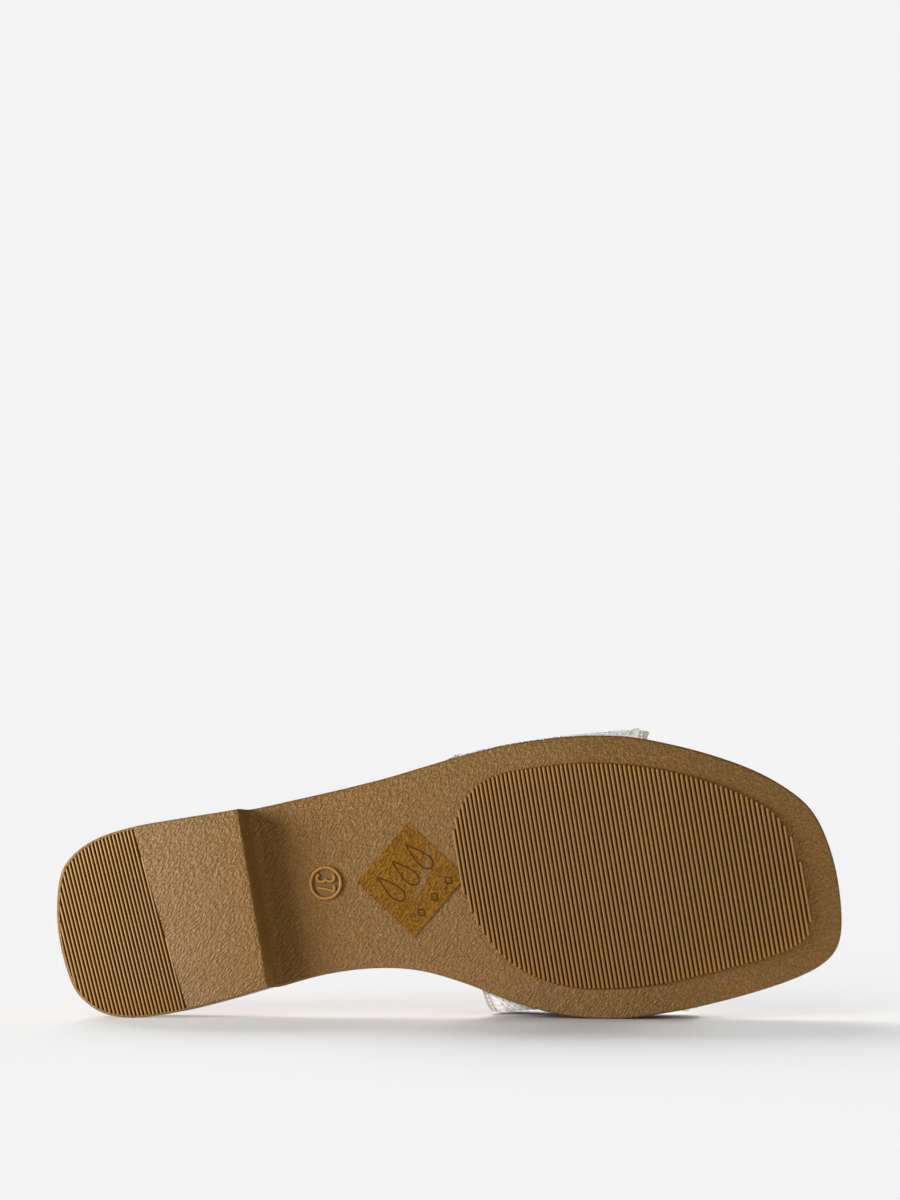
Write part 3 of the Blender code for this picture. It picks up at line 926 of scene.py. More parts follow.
class StrapSurface:
    """The middle of the strap's wall as a grid: rows from rear to front edge, columns over the foot."""

    def __init__(self, rows, columns):
        middle = []
        springs = []
        for along in np.linspace(STRAP[0].along, STRAP[-1].along, rows):
            line = strap_section(along)
            run = run_along(line)
            middle.append(read_at(np.linspace(0.0, run[-1], columns), run, line))
            springs.append(run[TURN_STEPS + 1] / run[-1])
        self.middle = np.array(middle)
        over = np.gradient(self.middle, axis=1)
        ahead = np.gradient(self.middle, axis=0)
        self.normal = unit(np.cross(over, ahead))
        steps = np.linalg.norm(np.diff(self.middle, axis=0), axis=2)
        self.rear = np.concatenate([np.zeros((1, columns)), np.cumsum(steps, axis=0)])
        self.front = self.rear[-1] - self.rear
        self.spring = float(np.mean(springs))
        lengths = np.linalg.norm(np.diff(self.middle, axis=1), axis=2)
        self.length = float(lengths.sum(axis=1).mean())
        self.width = float(self.rear[-1].mean())

    def parallel(self, distance, at_rear):
        """Points and normals of the line at a distance from one edge, for all columns."""
        order = slice(None) if at_rear else slice(None, None, -1)
        away = self.rear if at_rear else self.front[::-1]
        values = np.concatenate([self.middle, self.normal], axis=2)[order]
        columns = range(values.shape[1])
        return np.vstack([read_at(distance, away[:, column], values[:, column]) for column in columns])

    def from_edge(self):
        """Distance from the nearer edge, for each point of the grid."""
        return np.minimum(self.rear, self.front)

    def rise_share(self):
        """Zero in the tucked ends and one on the arch, for each column."""
        at = np.linspace(0.0, 1.0, self.middle.shape[1])
        reach = np.minimum(at, 1 - at)
        return np.clip((reach - self.spring * TUCK_END) / TUCK_EASE, 0.0, 1.0)


def shell(outer, inner, bulge, places):
    """Points, faces and texture places of a thin closed sheet with round edges, from two grids."""
    rows, columns = outer.shape[:2]
    shape = Shape()
    grid = loft_faces(rows, columns, closed=False)
    shape.add(outer.reshape(-1, 3), grid)
    shape.add(inner.reshape(-1, 3), [face[::-1] for face in grid])
    offset = rows * columns
    border = list(range(columns))
    border += [row * columns + columns - 1 for row in range(1, rows)]
    border += [(rows - 1) * columns + column for column in range(columns - 2, -1, -1)]
    border += [row * columns for row in range(rows - 2, 0, -1)]
    away = np.zeros((rows, columns, 3))
    away[0] = unit(outer[0] - outer[1])
    away[-1] = unit(outer[-1] - outer[-2])
    halfway = ((outer + inner) / 2 + bulge * away).reshape(-1, 3)[border]
    first = shape.count
    for k in range(len(border)):
        after = (k + 1) % len(border)
        shape.faces.append([border[k], border[after], first + after, first + k])
        shape.faces.append([first + k, first + after, border[after] + offset, border[k] + offset])
    points = np.vstack(shape.points + [halfway])
    return points, shape.faces, np.vstack([places, places, places[border]])


def join(tree, node, values):
    """Give a node's input sockets constants, or join them to what other nodes put out."""
    for key, value in values.items():
        if isinstance(value, bpy.types.NodeSocket):
            tree.links.new(value, node.inputs[key])
        else:
            node.inputs[key].default_value = value


def add_node(tree, kind, values=None, **settings):
    """One node with its settings, and with constants or other nodes' outputs for its input sockets."""
    node = tree.nodes.new(kind)
    for key, value in settings.items():
        setattr(node, key, value)
    join(tree, node, values or {})
    return node


def value_range(tree, value, target=(0.0, 1.0), source=(0.0, 1.0), smooth=False):
    """A value spread from one range over another."""
    node = add_node(tree, "ShaderNodeMapRange",
                    {"Value": value, "From Min": source[0], "From Max": source[1],
                     "To Min": target[0], "To Max": target[1]},
                    interpolation_type="SMOOTHSTEP" if smooth else "LINEAR")
    return node.outputs["Result"]


def calculate(tree, operation, *values):
    """The result of one step of arithmetic."""
    return add_node(tree, "ShaderNodeMath", dict(enumerate(values)), operation=operation).outputs[0]


def place_parts(tree, kind, output, **settings):
    """The parts of a place on the surface, one by one."""
    place = add_node(tree, kind, **settings)
    return add_node(tree, "ShaderNodeSeparateXYZ", {0: place.outputs[output]}).outputs


def own_places(tree):
    """The parts of the piece's own texture places."""
    return place_parts(tree, "ShaderNodeUVMap", "UV", uv_map="places")


def fill_grain(group, entry):
    """Fine grain of a moulding or a hide, drawn out on a slant: its height, and flecks that follow it."""
    place = add_node(group, "ShaderNodeTexCoord")
    slant = add_node(group, "ShaderNodeMapping",
                     {"Vector": place.outputs["Object"], "Rotation": (0.0, GRAIN_LEAN, 0.0),
                      "Scale": (GRAIN_STRETCH, 1.0, 1.0)},
                     vector_type="TEXTURE")
    noise = add_node(group, "ShaderNodeTexNoise",
                     {"Vector": slant.outputs["Vector"], "Scale": entry["Scale"], "Detail": 1.0,
                      "Roughness": 0.5})
    return noise.outputs["Fac"], value_range(group, noise.outputs["Fac"], source=NOISE_RANGE)


def fill_wear(group, entry):
    """Rubbed edges: one along the sharp outward edges of a piece, and zero on its faces."""
    shape = add_node(group, "ShaderNodeNewGeometry")
    limits = (entry["From"], entry["To"])
    return (value_range(group, shape.outputs["Pointiness"], source=limits, smooth=True),)


def fill_drift(group, entry):
    """Slow drift of tone over a surface, from handling and from the dye."""
    place = add_node(group, "ShaderNodeTexCoord")
    noise = add_node(group, "ShaderNodeTexNoise",
                     {"Vector": place.outputs["Object"], "Scale": entry["Scale"], "Detail": 4.0,
                      "Roughness": 0.6})
    return (value_range(group, noise.outputs["Fac"], source=NOISE_RANGE),)


def fill_weave(group, entry):
    """Plain weave laid out by the piece's own texture places: yarn height, and the holes between."""
    parts = own_places(group)
    waves = []
    for axis in ("X", "Y"):
        phase = calculate(group, "MULTIPLY", parts[axis], entry["Repeat"])
        angle = calculate(group, "MULTIPLY", phase, 2 * math.pi)
        waves.append(calculate(group, "COSINE", angle))
    height = calculate(group, "MULTIPLY", *waves)
    return height, value_range(group, height, source=HOLE_RANGE, smooth=True)


# Node groups: what goes in and its usual value, what comes out, and the function that fills the group
GROUPS = {
    "fine grain": ({"Scale": 1500.0}, ("Height", "Fleck"), fill_grain),
    "edge wear": ({"From": 0.53, "To": 0.62}, ("Wear",), fill_wear),
    "tone drift": ({"Scale": 40.0}, ("Tone",), fill_drift),
    "plain weave": ({"Repeat": 1.0}, ("Height", "Hole"), fill_weave),
}


def shared_group(name):
    """A shader node group, built when it is first asked for."""
    if name in bpy.data.node_groups:
        return bpy.data.node_groups[name]
    inputs, outputs, fill = GROUPS[name]
    group = bpy.data.node_groups.new(name, "ShaderNodeTree")
    for label, value in inputs.items():
        socket = group.interface.new_socket(name=label, in_out="INPUT", socket_type="NodeSocketFloat")
        socket.default_value = value
    for label in outputs:
        group.interface.new_socket(name=label, in_out="OUTPUT", socket_type="NodeSocketFloat")
    entry = group.nodes.new("NodeGroupInput")
    leave = group.nodes.new("NodeGroupOutput")
    join(group, leave, dict(zip(outputs, fill(group, entry.outputs))))
    return group


def use_group(tree, name, **values):
    """What a node group puts out when it is placed in a material with its own values."""
    return add_node(tree, "ShaderNodeGroup", values, node_tree=shared_group(name)).outputs


def new_material(name, specular, **constants):
    """A material with its shader."""
    material = bpy.data.materials.new(name)
    material.use_nodes = True
    shader = material.node_tree.nodes["Principled BSDF"]
    join(material.node_tree, shader, {"Specular IOR Level": specular, **constants})
    return material, material.node_tree, shader


def scaled(colour, factor):
    """A colour made darker or lighter."""
    return tuple(factor * channel for channel in colour)


def mix_colours(tree, share, first, second):
    """A colour between two, by a value that changes over the surface."""
    pair = [end if isinstance(end, bpy.types.NodeSocket) else (*end, 1.0) for end in (first, second)]
    return add_node(tree, "ShaderNodeMix", {0: share, 6: pair[0], 7: pair[1]}, data_type="RGBA").outputs[2]


def add_bump(tree, shader, height, strength, distance):
    """Fine relief on the shader's normal."""
    bump = add_node(tree, "ShaderNodeBump", {"Height": height, "Strength": strength, "Distance": distance})
    join(tree, shader, {"Normal": bump.outputs["Normal"]})


def sole_material(name, settings, grain, tone=1.0):
    """Tan rubber, grained or smooth, with painted sheen on the heel, painted shade at the feet of smooth
    beads, and a little lighter where its edges are rubbed.
    """
    material, tree, shader = new_material(name, specular=0.55)
    drift = use_group(tree, "tone drift", Scale=28.0)
    pebbles = use_group(tree, "fine grain", Scale=SOLE_GRAIN)
    wear = use_group(tree, "edge wear")
    dark = scaled(settings.dark_tan, tone)
    light = scaled(settings.light_tan, tone)
    along = place_parts(tree, "ShaderNodeTexCoord", "Object")["X"]
    # Painted sheen: the heel's end turns paler, as where the key light glances off it
    painted_sheen = value_range(tree, along, source=PAINTED_SHEEN_RANGE, smooth=True)
    colour = mix_colours(tree, drift["Tone"], dark, light)
    colour = mix_colours(tree, painted_sheen, colour, scaled(settings.heel_painted_sheen, tone))
    flecks = value_range(tree, pebbles["Fleck"], GRAINED_FLECKS if grain else SMOOTH_FLECKS)
    colour = mix_colours(tree, flecks, scaled(dark, DEEP_TONE), colour)
    # Smooth beads get painted shade at their foot, by their texture places
    if not grain:
        colour = mix_colours(tree, own_places(tree)["X"], scaled(dark, FOOT_SHADE), colour)
    colour = mix_colours(tree, wear["Wear"], colour, scaled(light, RUBBED_TONE))
    roughness = value_range(tree, pebbles["Fleck"], SOLE_ROUGHNESS)
    join(tree, shader, {"Base Color": colour, "Roughness": roughness})
    add_bump(tree, shader, pebbles["Height"], strength=1.0 if grain else 0.1, distance=SOLE_BUMP)
    return material


def film_material(settings):
    """Thin amber film, with a painted highlight that makes it pale along its wrinkle, where it has come off
    the sole.
    """
    material, tree, shader = new_material("amber_film", specular=0.15, Alpha=FILM_ALPHA)
    drift = use_group(tree, "tone drift", Scale=120.0)
    grain = use_group(tree, "fine grain", Scale=SOLE_GRAIN)
    amber = settings.film_amber
    colour = mix_colours(tree, drift["Tone"], scaled(amber, FILM_DARK), amber)
    colour = mix_colours(tree, grain["Fleck"], scaled(amber, FILM_DEEP), colour)
    # Painted highlight: the film turns pale along its wrinkle
    painted_highlight = value_range(tree, own_places(tree)["X"], PAINTED_HIGHLIGHT_RANGE)
    colour = mix_colours(tree, painted_highlight, colour, settings.film_painted_highlight)
    roughness = value_range(tree, drift["Tone"], FILM_ROUGHNESS)
    join(tree, shader, {"Base Color": colour, "Roughness": roughness})
    add_bump(tree, shader, grain["Height"], strength=1.0, distance=SOLE_BUMP)
    return material


def ink_material(settings):
    """Printed marks on the film."""
    material, tree, shader = new_material("film_ink", specular=0.1, Roughness=0.6)
    drift = use_group(tree, "tone drift", Scale=300.0)
    colour = mix_colours(tree, drift["Tone"], settings.film_ink, scaled(settings.film_ink, INK_LIGHT))
    join(tree, shader, {"Base Color": colour})
    return material


def insole_material(settings):
    """Fine grained cover of the insole."""
    material, tree, shader = new_material("insole_cover", specular=0.35)
    grain = use_group(tree, "fine grain", Scale=1300.0)
    drift = use_group(tree, "tone drift", Scale=35.0)
    colour = mix_colours(tree, drift["Tone"], scaled(settings.cover, COVER_DARK), settings.cover)
    flecks = value_range(tree, grain["Fleck"], COVER_FLECKS)
    colour = mix_colours(tree, flecks, settings.cover_shade, colour)
    roughness = value_range(tree, grain["Fleck"], COVER_ROUGHNESS)
    join(tree, shader, {"Base Color": colour, "Roughness": roughness})
    add_bump(tree, shader, grain["Height"], strength=0.6, distance=0.00018)
    return material


def weave_material(name, yarn, hole_and_shade, roughness):
    """Woven cloth with darker holes between its yarns, partly painted shade where the yarns dip."""
    material, tree, shader = new_material(name, specular=0.25, Roughness=roughness)
    weave = use_group(tree, "plain weave")
    drift = use_group(tree, "tone drift", Scale=60.0)
    colour = mix_colours(tree, drift["Tone"], scaled(yarn, YARN_DARK), yarn)
    # The holes are darker: partly what shows through them, partly painted shade where the yarns dip
    colour = mix_colours(tree, weave["Hole"], colour, hole_and_shade)
    join(tree, shader, {"Base Color": colour, "Sheen Weight": SHEEN})
    add_bump(tree, shader, weave["Height"], strength=0.5, distance=0.0002)
    return material


def cloth_material(name, colour, roughness):
    """Plain folded cloth or thread with a fine nap."""
    material, tree, shader = new_material(name, specular=0.25, Roughness=roughness)
    nap = use_group(tree, "fine grain", Scale=2600.0)
    flecks = value_range(tree, nap["Fleck"], GRAINED_FLECKS)
    shade = mix_colours(tree, flecks, scaled(colour, NAP_DARK), colour)
    join(tree, shader, {"Base Color": shade, "Sheen Weight": SHEEN})
    add_bump(tree, shader, nap["Height"], strength=0.5, distance=0.00012)
    return material


def floor_material(settings):
    """Plain pale floor that fades out far from the shoe."""
    material, tree, shader = new_material("pale_floor", specular=0.0, Roughness=0.9)
    place = add_node(tree, "ShaderNodeTexCoord")
    reach = add_node(tree, "ShaderNodeVectorMath", {0: place.outputs["Object"]}, operation="LENGTH")
    fade = value_range(tree, reach.outputs["Value"], (1.0, 0.0), FLOOR_FADE, smooth=True)
    join(tree, shader, {"Base Color": (*settings.floor, 1.0), "Alpha": fade})
    return material


class SANDAL_OT_sole(bpy.types.Operator):
    """Moulded sole with its heel block"""

    bl_idname = "sandal.make_sole"
    bl_label = "Sole"

    def execute(self, context):
        settings = context.scene.sandal_sole
        rings = sole_rings(settings.edge_round / MM)
        faces = loft_faces(*rings.shape[:2])
        material = sole_material("tan_rubber", settings, grain=True)
        sole = add_piece("sole", rings.reshape(-1, 3), faces, [material], "outsole")
        cut_away(sole, "heel_grooves", heel_zone(), GROOVES_FROM, settings.heel_groove / MM)
        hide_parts("outsole")
        return {"FINISHED"}


class SANDAL_OT_tread(bpy.types.Operator):
    """Ribs under the forefoot and the heel"""

    bl_idname = "sandal.make_tread"
    bl_label = "Tread ribs"

    def execute(self, context):
        settings = context.scene.sandal_sole
        ribs = Shape()
        field = plan_curve(RIB_FIELD, FIELD_REAR_TIP, FIELD_FRONT_TIP)
        width, height = settings.rib_width / MM, settings.rib_height / MM
        for start, end in ribs_in(field, settings.rib_pitch / MM, RIB_LEAN):
            line = on_underside(bar_line(start, end, width))
            ribs.add_bead(line, width, height, RIB_ROOT, FIELD_SHADE_POWER)
        width, groove = settings.heel_rib_width / MM, settings.heel_groove / MM
        pitch = settings.heel_rib_pitch / MM
        for start, end in ribs_in(heel_zone(), pitch, HEEL_RIB_LEAN, HEEL_RIB_OVERRUN):
            plan = bar_line(start, end, width)
            line = np.column_stack([plan, np.full(len(plan), groove)])
            ribs.add_bead(line, width, groove - HEEL_RIB_SINK, HEEL_RIB_ROOT, HEEL_SHADE_POWER)
        # A lighter copy of the tan: painted light on the rib tops
        material = sole_material("tan_rubber_ribs", settings, grain=False, tone=RAISED_PAINTED_LIGHT)
        ribs.piece("tread_ribs", [material], "outsole")
        return {"FINISHED"}


class SANDAL_OT_size_mark(bpy.types.Operator):
    """Raised size ring with its number"""

    bl_idname = "sandal.make_size_mark"
    bl_label = "Size mark"

    def execute(self, context):
        settings = context.scene.sandal_sole
        height = settings.mark_height / MM
        mark = Shape()

        def add_line(plan, width, closed):
            line = on_underside(plan)
            mark.add_bead(line, width, height, MARK_ROOT, MARK_SHADE_POWER, closed, MARK_FULLNESS)

        turn = np.linspace(0.0, 2 * math.pi, CIRCLE_STEPS, endpoint=False)
        ring = RING_CENTRE + RING_RADIUS * np.column_stack([np.cos(turn), np.sin(turn)])
        add_line(ring, RING_WIDTH, True)
        disc = tube_faces(2, CIRCLE_STEPS)
        first_of_disc = len(mark.faces)
        mark.add(np.vstack([on_underside(ring, lift) for lift in DISC_LEVELS]), disc)
        mark.places.append(np.ones((2 * CIRCLE_STEPS, 2)))
        three = []
        for bowl in THREE:
            turn = np.radians(np.linspace(bowl.start, bowl.end, BOWL_STEPS))
            across, up = bowl.across + bowl.wide * np.cos(turn), bowl.up + bowl.high * np.sin(turn)
            three.append(np.column_stack([across, up]))
        for glyph in (np.vstack(three), SEVEN):
            plan, _ = resample(RING_CENTRE + glyph[:, ::-1], STROKE_STEP)
            add_line(plan, STROKE_WIDTH, False)
        # The raised ring and number take the painted light, the disc a darker tone
        raised = sole_material("tan_rubber_mark", settings, grain=False, tone=RAISED_PAINTED_LIGHT)
        sunk = sole_material("tan_rubber_disc", settings, grain=False, tone=DISC_TONE)
        finish = np.zeros(len(mark.faces), int)
        finish[first_of_disc:first_of_disc + len(disc)] = 1
        mark.piece("size_mark", [raised, sunk], "outsole", finish=finish)
        return {"FINISHED"}


def film_point(across, up):
    """A point of the film in plan, from its middle."""
    first = np.array([math.cos(FILM_TURN), math.sin(FILM_TURN)])
    second = np.array([-first[1], first[0]])
    return FILM_CENTRE + np.multiply.outer(across, first) + np.multiply.outer(up, second)


def film_lift(across, up):
    """How far the film stands off the sole: one soft wrinkle, and an edge that has come loose."""
    from_middle = across - WRINKLE_MIDDLE
    bend = WRINKLE_BEND * from_middle ** 2
    off_line = (up - WRINKLE_FOOT + bend) * math.cos(WRINKLE_LEAN) + across * math.sin(WRINKLE_LEAN)
    wrinkle = np.exp(-(off_line / WRINKLE_WIDTH) ** 2) * np.exp(-(from_middle / WRINKLE_REACH) ** 4)
    loose = np.clip((up - FILM_SIZE / 2 + LOOSE_WIDTH) / LOOSE_WIDTH, 0.0, 1.0) ** 2
    return FILM_LIFT + WRINKLE_RISE * wrinkle + LOOSE_RISE * loose, wrinkle


def film_marks():
    """Plain closed lines: three long drops and three small diamonds."""
    marks = []
    turn = np.linspace(0.0, 2 * math.pi, DROP_STEPS, endpoint=False)
    bow = np.sin(turn) * (DROP_FULL - DROP_TAPER * np.cos(turn)) + DROP_LEAN * np.sin(turn / 2) ** 2
    for across in DROPS_ACROSS:
        marks.append(np.column_stack([across + DROP_WIDTH * bow, DROPS_UP - DROP_REACH * np.cos(turn)]))
    for across in DIAMONDS_ACROSS:
        line, _ = resample(np.array(DIAMOND) + (across, DIAMONDS_UP), DIAMOND_STEP)
        marks.append(line[:-1])
    return marks


class SANDAL_OT_film(bpy.types.Operator):
    """Protective film on the waist, with line marks"""

    bl_idname = "sandal.make_film"
    bl_label = "Film"

    def execute(self, context):
        settings = context.scene.sandal_sole
        steps = np.linspace(-0.5, 0.5, FILM_STEPS) * FILM_SIZE
        across, up = np.meshgrid(steps, steps, indexing="ij")
        plan = film_point(across, up)
        lift, wrinkle = film_lift(across, up)
        sides = [np.dstack([plan, underside(plan) - lift - more]) for more in (FILM_THICKNESS, 0.0)]
        # The wrinkle's share places the film's painted highlight
        places = np.column_stack([wrinkle.ravel(), np.zeros(wrinkle.size)])
        points, faces, places = shell(*sides, 0.0, places)
        add_piece("sole_film", points, faces, [film_material(settings)], "outsole", places=places)
        marks = Shape()
        for line in film_marks():
            flat = film_point(line[:, 0], line[:, 1])
            lift, _ = film_lift(line[:, 0], line[:, 1])
            place = np.column_stack([flat, underside(flat) - lift - FILM_THICKNESS])
            down = np.tile(DOWN, (len(place), 1))
            marks.add(*bead(place, down, INK_WIDTH, INK_HEIGHT, INK_ROOT, closed=True))
        marks.piece("film_marks", [ink_material(settings)], "outsole")
        return {"FINISHED"}


class SANDAL_OT_insole(bpy.types.Operator):
    """Padded insole"""

    bl_idname = "sandal.make_insole"
    bl_label = "Insole"

    def execute(self, context):
        rings = insole_rings()
        faces = loft_faces(*rings.shape[:2])
        material = insole_material(context.scene.sandal_insole)
        pad = add_piece("insole_pad", rings.reshape(-1, 3), faces, [material], "insole")
        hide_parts("insole")
        return {"FINISHED"}


def woven_surface(settings):
    """The strap's surface, with whole numbers of steps for each hole of the weave."""
    rough = StrapSurface(PITCH_SAMPLES, PITCH_SAMPLES * ROW_SAMPLES)
    across = round(rough.width * MM / settings.weave_pitch)
    along = round(rough.length * MM / settings.weave_rows / 2)
    return StrapSurface(PITCH_SAMPLES * across + 1, ROW_SAMPLES * along + 1)


class SANDAL_OT_strap(bpy.types.Operator):
    """Woven strap with its lining"""

    bl_idname = "sandal.make_strap"
    bl_label = "Strap"

    def execute(self, context):
        settings = context.scene.sandal_strap
        surface = woven_surface(settings)
        away = surface.from_edge()
        arch = surface.rise_share()[None, :]
        row, column = np.indices(away.shape)
        row, column = row / PITCH_SAMPLES, column / ROW_SAMPLES
        relief = np.cos(2 * math.pi * row) * np.cos(2 * math.pi * column)
        band = settings.edge_band / MM
        woven = np.clip((away - band - WEAVE_MARGIN) / WEAVE_EASE, 0.0, 1.0) * arch
        level = TUCK_LEVEL + (STRAP_LEVEL - TUCK_LEVEL) * arch
        level = level + settings.weave_depth / MM / 2 * relief * woven
        level = level - EDGE_DROP * np.clip(1 - away / EDGE_DROP_WIDTH, 0.0, 1.0) ** 2
        under = np.where(away < band - FOLD_LAP, FOLD_UNDER, WEAVE_UNDER)
        outer = surface.middle + level[..., None] * surface.normal
        inner = surface.middle + under[..., None] * surface.normal
        places = np.column_stack([column.ravel(), row.ravel()])
        points, faces, places = shell(outer, inner, EDGE_BULGE, places)
        face_away = (away[:-1, :-1] + away[1:, 1:]) / 2
        top = (face_away < band + BAND_MARGIN).astype(int).ravel()
        finish = np.concatenate([top, np.ones(len(faces) - len(top), int)])
        cloth = weave_material("white_weave", settings.white, settings.hollow_and_shade, roughness=0.75)
        folded = cloth_material("cream_band", settings.band, roughness=0.8)
        strap = add_piece("strap_weave", points, faces, [cloth, folded], "strap", math.pi, places, finish)
        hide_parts("strap")
        lining = self.make_lining(settings, surface, band)
        return {"FINISHED"}

    def make_lining(self, settings, surface, band):
        """Thin cloth inside the strap, between its folded edges."""
        middle, normal, rear = (
            grid[:, ::LINING_STEP] for grid in (surface.middle, surface.normal, surface.rear))
        grids = []
        for level in LINING_LEVELS:
            grid = np.zeros((LINING_ROWS, middle.shape[1], 3))
            for column in range(middle.shape[1]):
                run = rear[:, column]
                at = np.linspace(band - LINING_LAP, run[-1] - band + LINING_LAP, LINING_ROWS)
                grid[:, column] = read_at(at, run, middle[:, column] + level * normal[:, column])
            grids.append(grid)
        row, column = np.indices(grids[0].shape[:2])
        places = np.column_stack([column.ravel(), row.ravel()])
        points, faces, places = shell(*grids, 0.0, places)
        cloth = weave_material("tan_lining", settings.lining, settings.lining_shade, roughness=0.85)
        return add_piece("strap_lining", points, faces, [cloth], "strap", math.pi, places)


class SANDAL_OT_strap_edges(bpy.types.Operator):
    """Wrapped cords and stitches along the strap's edges"""

    bl_idname = "sandal.make_strap_edges"
    bl_label = "Strap edges"

    def execute(self, context):
        settings = context.scene.sandal_strap
        surface = woven_surface(settings)
        cords, stitches = Shape(), Shape()
        band = settings.edge_band / MM
        width = settings.cord_width / MM
        pitch = settings.stitch_pitch / MM
        first = int(surface.spring * surface.middle.shape[1]) + 1
        for at_rear in (True, False):
            line = surface.parallel(band + width / 2, at_rear)[first:-first]
            cords.add(*self.cord(line, settings))
            line = surface.parallel(band - THREAD_INSET, at_rear)[first:-first]
            line, run = resample(line, THREAD_STEP)
            for k in range(int(run[-1] / pitch)):
                thread = line[(run >= k * pitch) & (run <= k * pitch + STITCH_SHARE * pitch)]
                level = thread[:, :3] + STRAP_LEVEL * thread[:, 3:]
                stitches.add(*bead(level, unit(thread[:, 3:]), THREAD_WIDTH, THREAD_HEIGHT, THREAD_ROOT))
        cloth = cloth_material("white_cord", settings.white, roughness=0.75)
        thread = cloth_material("edge_thread", settings.thread, roughness=0.7)
        cords.piece("strap_cords", [cloth], "strap", sharp=math.pi)
        stitches.piece("strap_stitches", [thread], "strap", sharp=math.pi)
        return {"FINISHED"}

    def cord(self, line, settings):
        """A flattened cord with slanting wraps."""
        line, run = resample(line, CORD_STEP)
        normal = unit(line[:, 3:])
        tangent = unit(np.gradient(line[:, :3], axis=0))
        side = np.cross(tangent, normal)
        angle = np.linspace(0.0, 2 * math.pi, CORD_AROUND, endpoint=False)
        slant = run[:, None] / (settings.wrap_pitch / MM) + WRAP_SLANT * np.cos(angle)[None]
        groove = 1 - np.abs(np.sin(math.pi * slant)) ** WRAP_ROUND
        swell = 1 - WRAP_GROOVE * groove
        middle = line[:, :3] + STRAP_LEVEL * normal
        wide = settings.cord_width / MM / 2 * swell * np.cos(angle)
        high = settings.cord_height / MM / 2 * swell * np.sin(angle)
        points = middle[:, None] + wide[..., None] * side[:, None] + high[..., None] * normal[:, None]
        return points.reshape(-1, 3), tube_faces(len(line), CORD_AROUND)


def turned(first, second, angle):
    """Two square axes, after the first has turned towards the second."""
    cosine, sine = math.cos(angle), math.sin(angle)
    return first * cosine + second * sine, second * cosine - first * sine


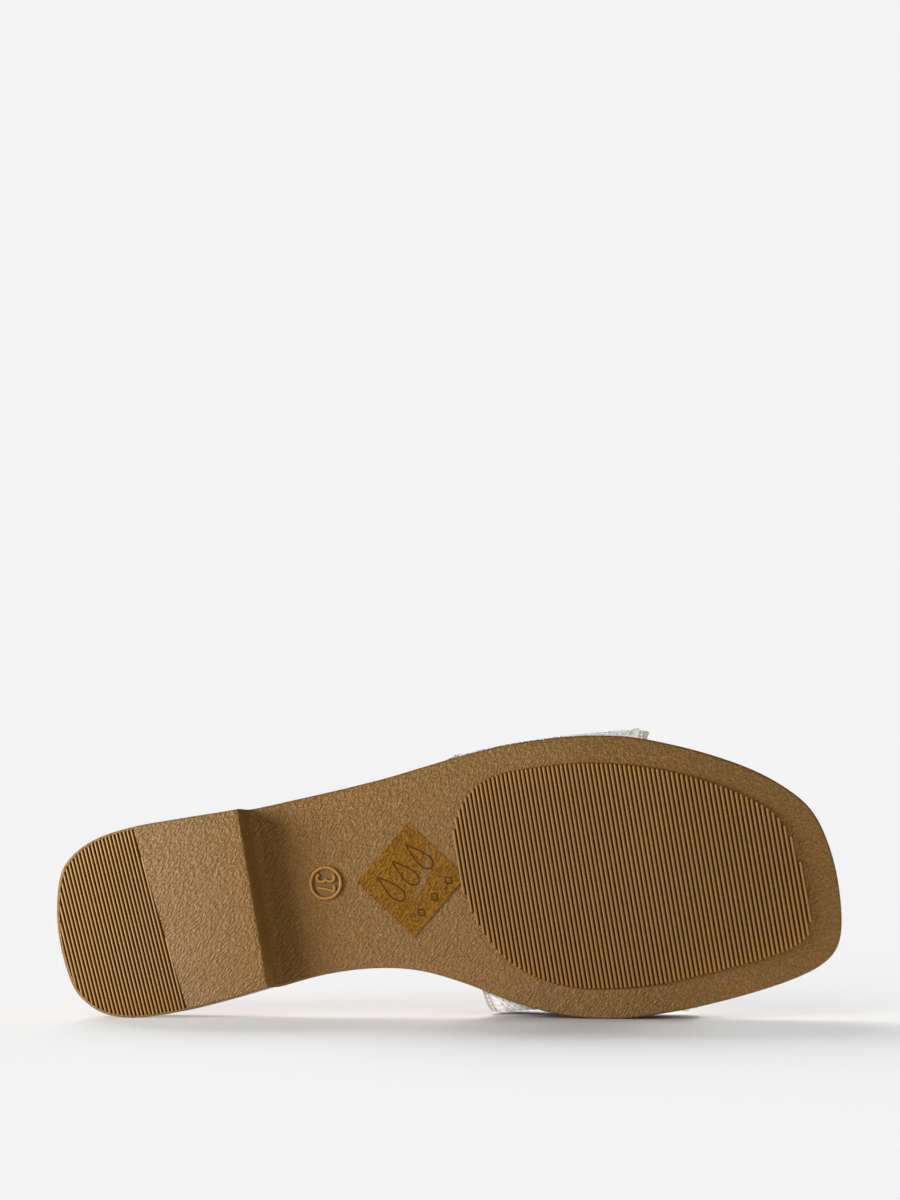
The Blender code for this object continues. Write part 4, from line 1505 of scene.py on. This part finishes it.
class SANDAL_OT_stage(bpy.types.Operator):
    """Floor, lights and camera"""

    bl_idname = "sandal.make_stage"
    bl_label = "Stage"

    def execute(self, context):
        settings = context.scene.sandal_stage
        context.scene.view_settings.view_transform = "Standard"
        self.make_floor(context, settings)
        self.make_sky(context, settings)
        self.make_lights(context, settings)
        self.make_camera(context, settings)
        return {"FINISHED"}

    def make_floor(self, context, settings):
        """A round plain floor."""
        turn = np.linspace(0.0, 2 * math.pi, CIRCLE_STEPS, endpoint=False)
        points = FLOOR_RADIUS * np.column_stack([np.cos(turn), np.sin(turn), np.zeros(CIRCLE_STEPS)])
        mesh = bpy.data.meshes.new("floor")
        mesh.from_pydata(points.tolist(), [], [list(range(CIRCLE_STEPS))])
        mesh.materials.append(floor_material(settings))
        floor = bpy.data.objects.new("floor", mesh)
        context.scene.collection.objects.link(floor)
        floor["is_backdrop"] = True

    def make_sky(self, context, settings):
        """Even light from all sides, and a plain brightness where the camera sees past the floor."""
        world = bpy.data.worlds.new("studio")
        world.use_nodes = True
        tree = world.node_tree
        tree.nodes.clear()
        white = (1.0, 1.0, 1.0, 1.0)
        even, seen = (add_node(tree, "ShaderNodeBackground", {"Color": white, "Strength": strength})
                      for strength in (settings.sky, settings.backdrop))
        path = add_node(tree, "ShaderNodeLightPath")
        mix = add_node(tree, "ShaderNodeMixShader",
                       {0: path.outputs["Is Camera Ray"], 1: even.outputs[0], 2: seen.outputs[0]})
        add_node(tree, "ShaderNodeOutputWorld", {"Surface": mix.outputs[0]})
        context.scene.world = world

    def make_lights(self, context, settings):
        """Lights that each light only some pieces, a few of them shaded by only some pieces."""
        sets = {name: bpy.data.collections.new(name) for name in ("floor", "sole", "upper", "strap")}
        for item in context.scene.objects:
            if item.type != "MESH":
                continue
            strap, insole = item.name.startswith("strap"), item.name.startswith("insole")
            names = ["floor"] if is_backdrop(item) else ["upper" if strap or insole else "sole"]
            for name in names + ["strap"] * strap:
                sets[name].objects.link(item)
        for sun in SUNS:
            light = self.new_light("SUN", sun, settings)
            light.angle = math.radians(sun.angle)
            lamp = self.place_light(context, light, sun.toward, sun.toward, sets[sun.lit])
            lamp.light_linking.blocker_collection = sets.get(sun.shaded_by)
        for lamp in LAMPS:
            light = self.new_light("AREA", lamp, settings)
            light.shape = "DISK"
            light.size = LAMP_SIZE
            place = Vector(lamp.aim) + lamp.distance * Vector(lamp.toward).normalized()
            self.place_light(context, light, lamp.toward, place, sets["sole"])

    def new_light(self, kind, row, settings):
        """A light with the strength that the settings give it."""
        light = bpy.data.lights.new(row.setting + "_light", kind)
        light.energy = getattr(settings, row.setting)
        return light

    def place_light(self, context, light, toward, place, receivers):
        """A light at a place, that shines against the given direction."""
        lamp = bpy.data.objects.new(light.name, light)
        lamp.location = place
        lamp.rotation_euler = (-Vector(toward)).to_track_quat("-Z", "Y").to_euler()
        context.scene.collection.objects.link(lamp)
        lamp.light_linking.receiver_collection = receivers
        return lamp

    def make_camera(self, context, settings):
        """A camera that looks past the shoe, so that the shoe sits low in the picture."""
        flat = math.cos(settings.rise)
        back = Vector((math.sin(settings.turn) * flat, -math.cos(settings.turn) * flat,
                       math.sin(settings.rise)))
        forward = -back
        right = forward.cross(Vector((0.0, 0.0, 1.0))).normalized()
        up = right.cross(forward)
        right, up = turned(right, up, settings.roll)
        data = bpy.data.cameras.new("camera")
        data.lens = settings.lens
        data.sensor_width = SENSOR_WIDTH
        focal = settings.lens / SENSOR_WIDTH * PICTURE_LONG_SIDE
        axis, up = turned(forward, up, math.atan2(-AIM_FROM_CENTRE[1], focal))
        swing = math.atan2(-AIM_FROM_CENTRE[0], math.hypot(focal, AIM_FROM_CENTRE[1]))
        axis, right = turned(axis, right, swing)
        camera = bpy.data.objects.new("camera", data)
        turn = Matrix((right, up, -axis)).transposed().to_4x4()
        camera.matrix_world = Matrix.Translation(AIM + settings.distance * back) @ turn
        context.scene.collection.objects.link(camera)
        context.scene.camera = camera


SETTINGS = {
    "sandal_sole": SandalSole,
    "sandal_insole": SandalInsole,
    "sandal_strap": SandalStrap,
    "sandal_stage": SandalStage,
}
OPERATORS = [
    SANDAL_OT_sole,
    SANDAL_OT_tread,
    SANDAL_OT_size_mark,
    SANDAL_OT_film,
    SANDAL_OT_insole,
    SANDAL_OT_strap,
    SANDAL_OT_strap_edges,
    SANDAL_OT_stage,
]


class SANDAL_PT_panel(bpy.types.Panel):
    """Lists the sandal's settings and what builds its pieces"""

    bl_idname = "SANDAL_PT_panel"
    bl_label = "Slip-on sandal"
    bl_space_type = "VIEW_3D"
    bl_region_type = "UI"
    bl_category = "Sandal"

    def draw(self, context):
        layout = self.layout
        for name, group in SETTINGS.items():
            box = layout.box()
            for key in group.__annotations__:
                box.prop(getattr(context.scene, name), key)
        for operator in OPERATORS:
            layout.operator(operator.bl_idname)


def register():
    for group in SETTINGS.values():
        bpy.utils.register_class(group)
    for name, group in SETTINGS.items():
        setattr(bpy.types.Scene, name, PointerProperty(type=group))
    for item in [*OPERATORS, SANDAL_PT_panel]:
        bpy.utils.register_class(item)


def unregister():
    for item in reversed([*OPERATORS, SANDAL_PT_panel]):
        bpy.utils.unregister_class(item)
    for name in SETTINGS:
        delattr(bpy.types.Scene, name)
    for group in reversed(SETTINGS.values()):
        bpy.utils.unregister_class(group)


def main():
    register()
    for operator in OPERATORS:
        group, name = operator.bl_idname.split(".")
        getattr(getattr(bpy.ops, group), name)()


if __name__ == "__main__":
    main()
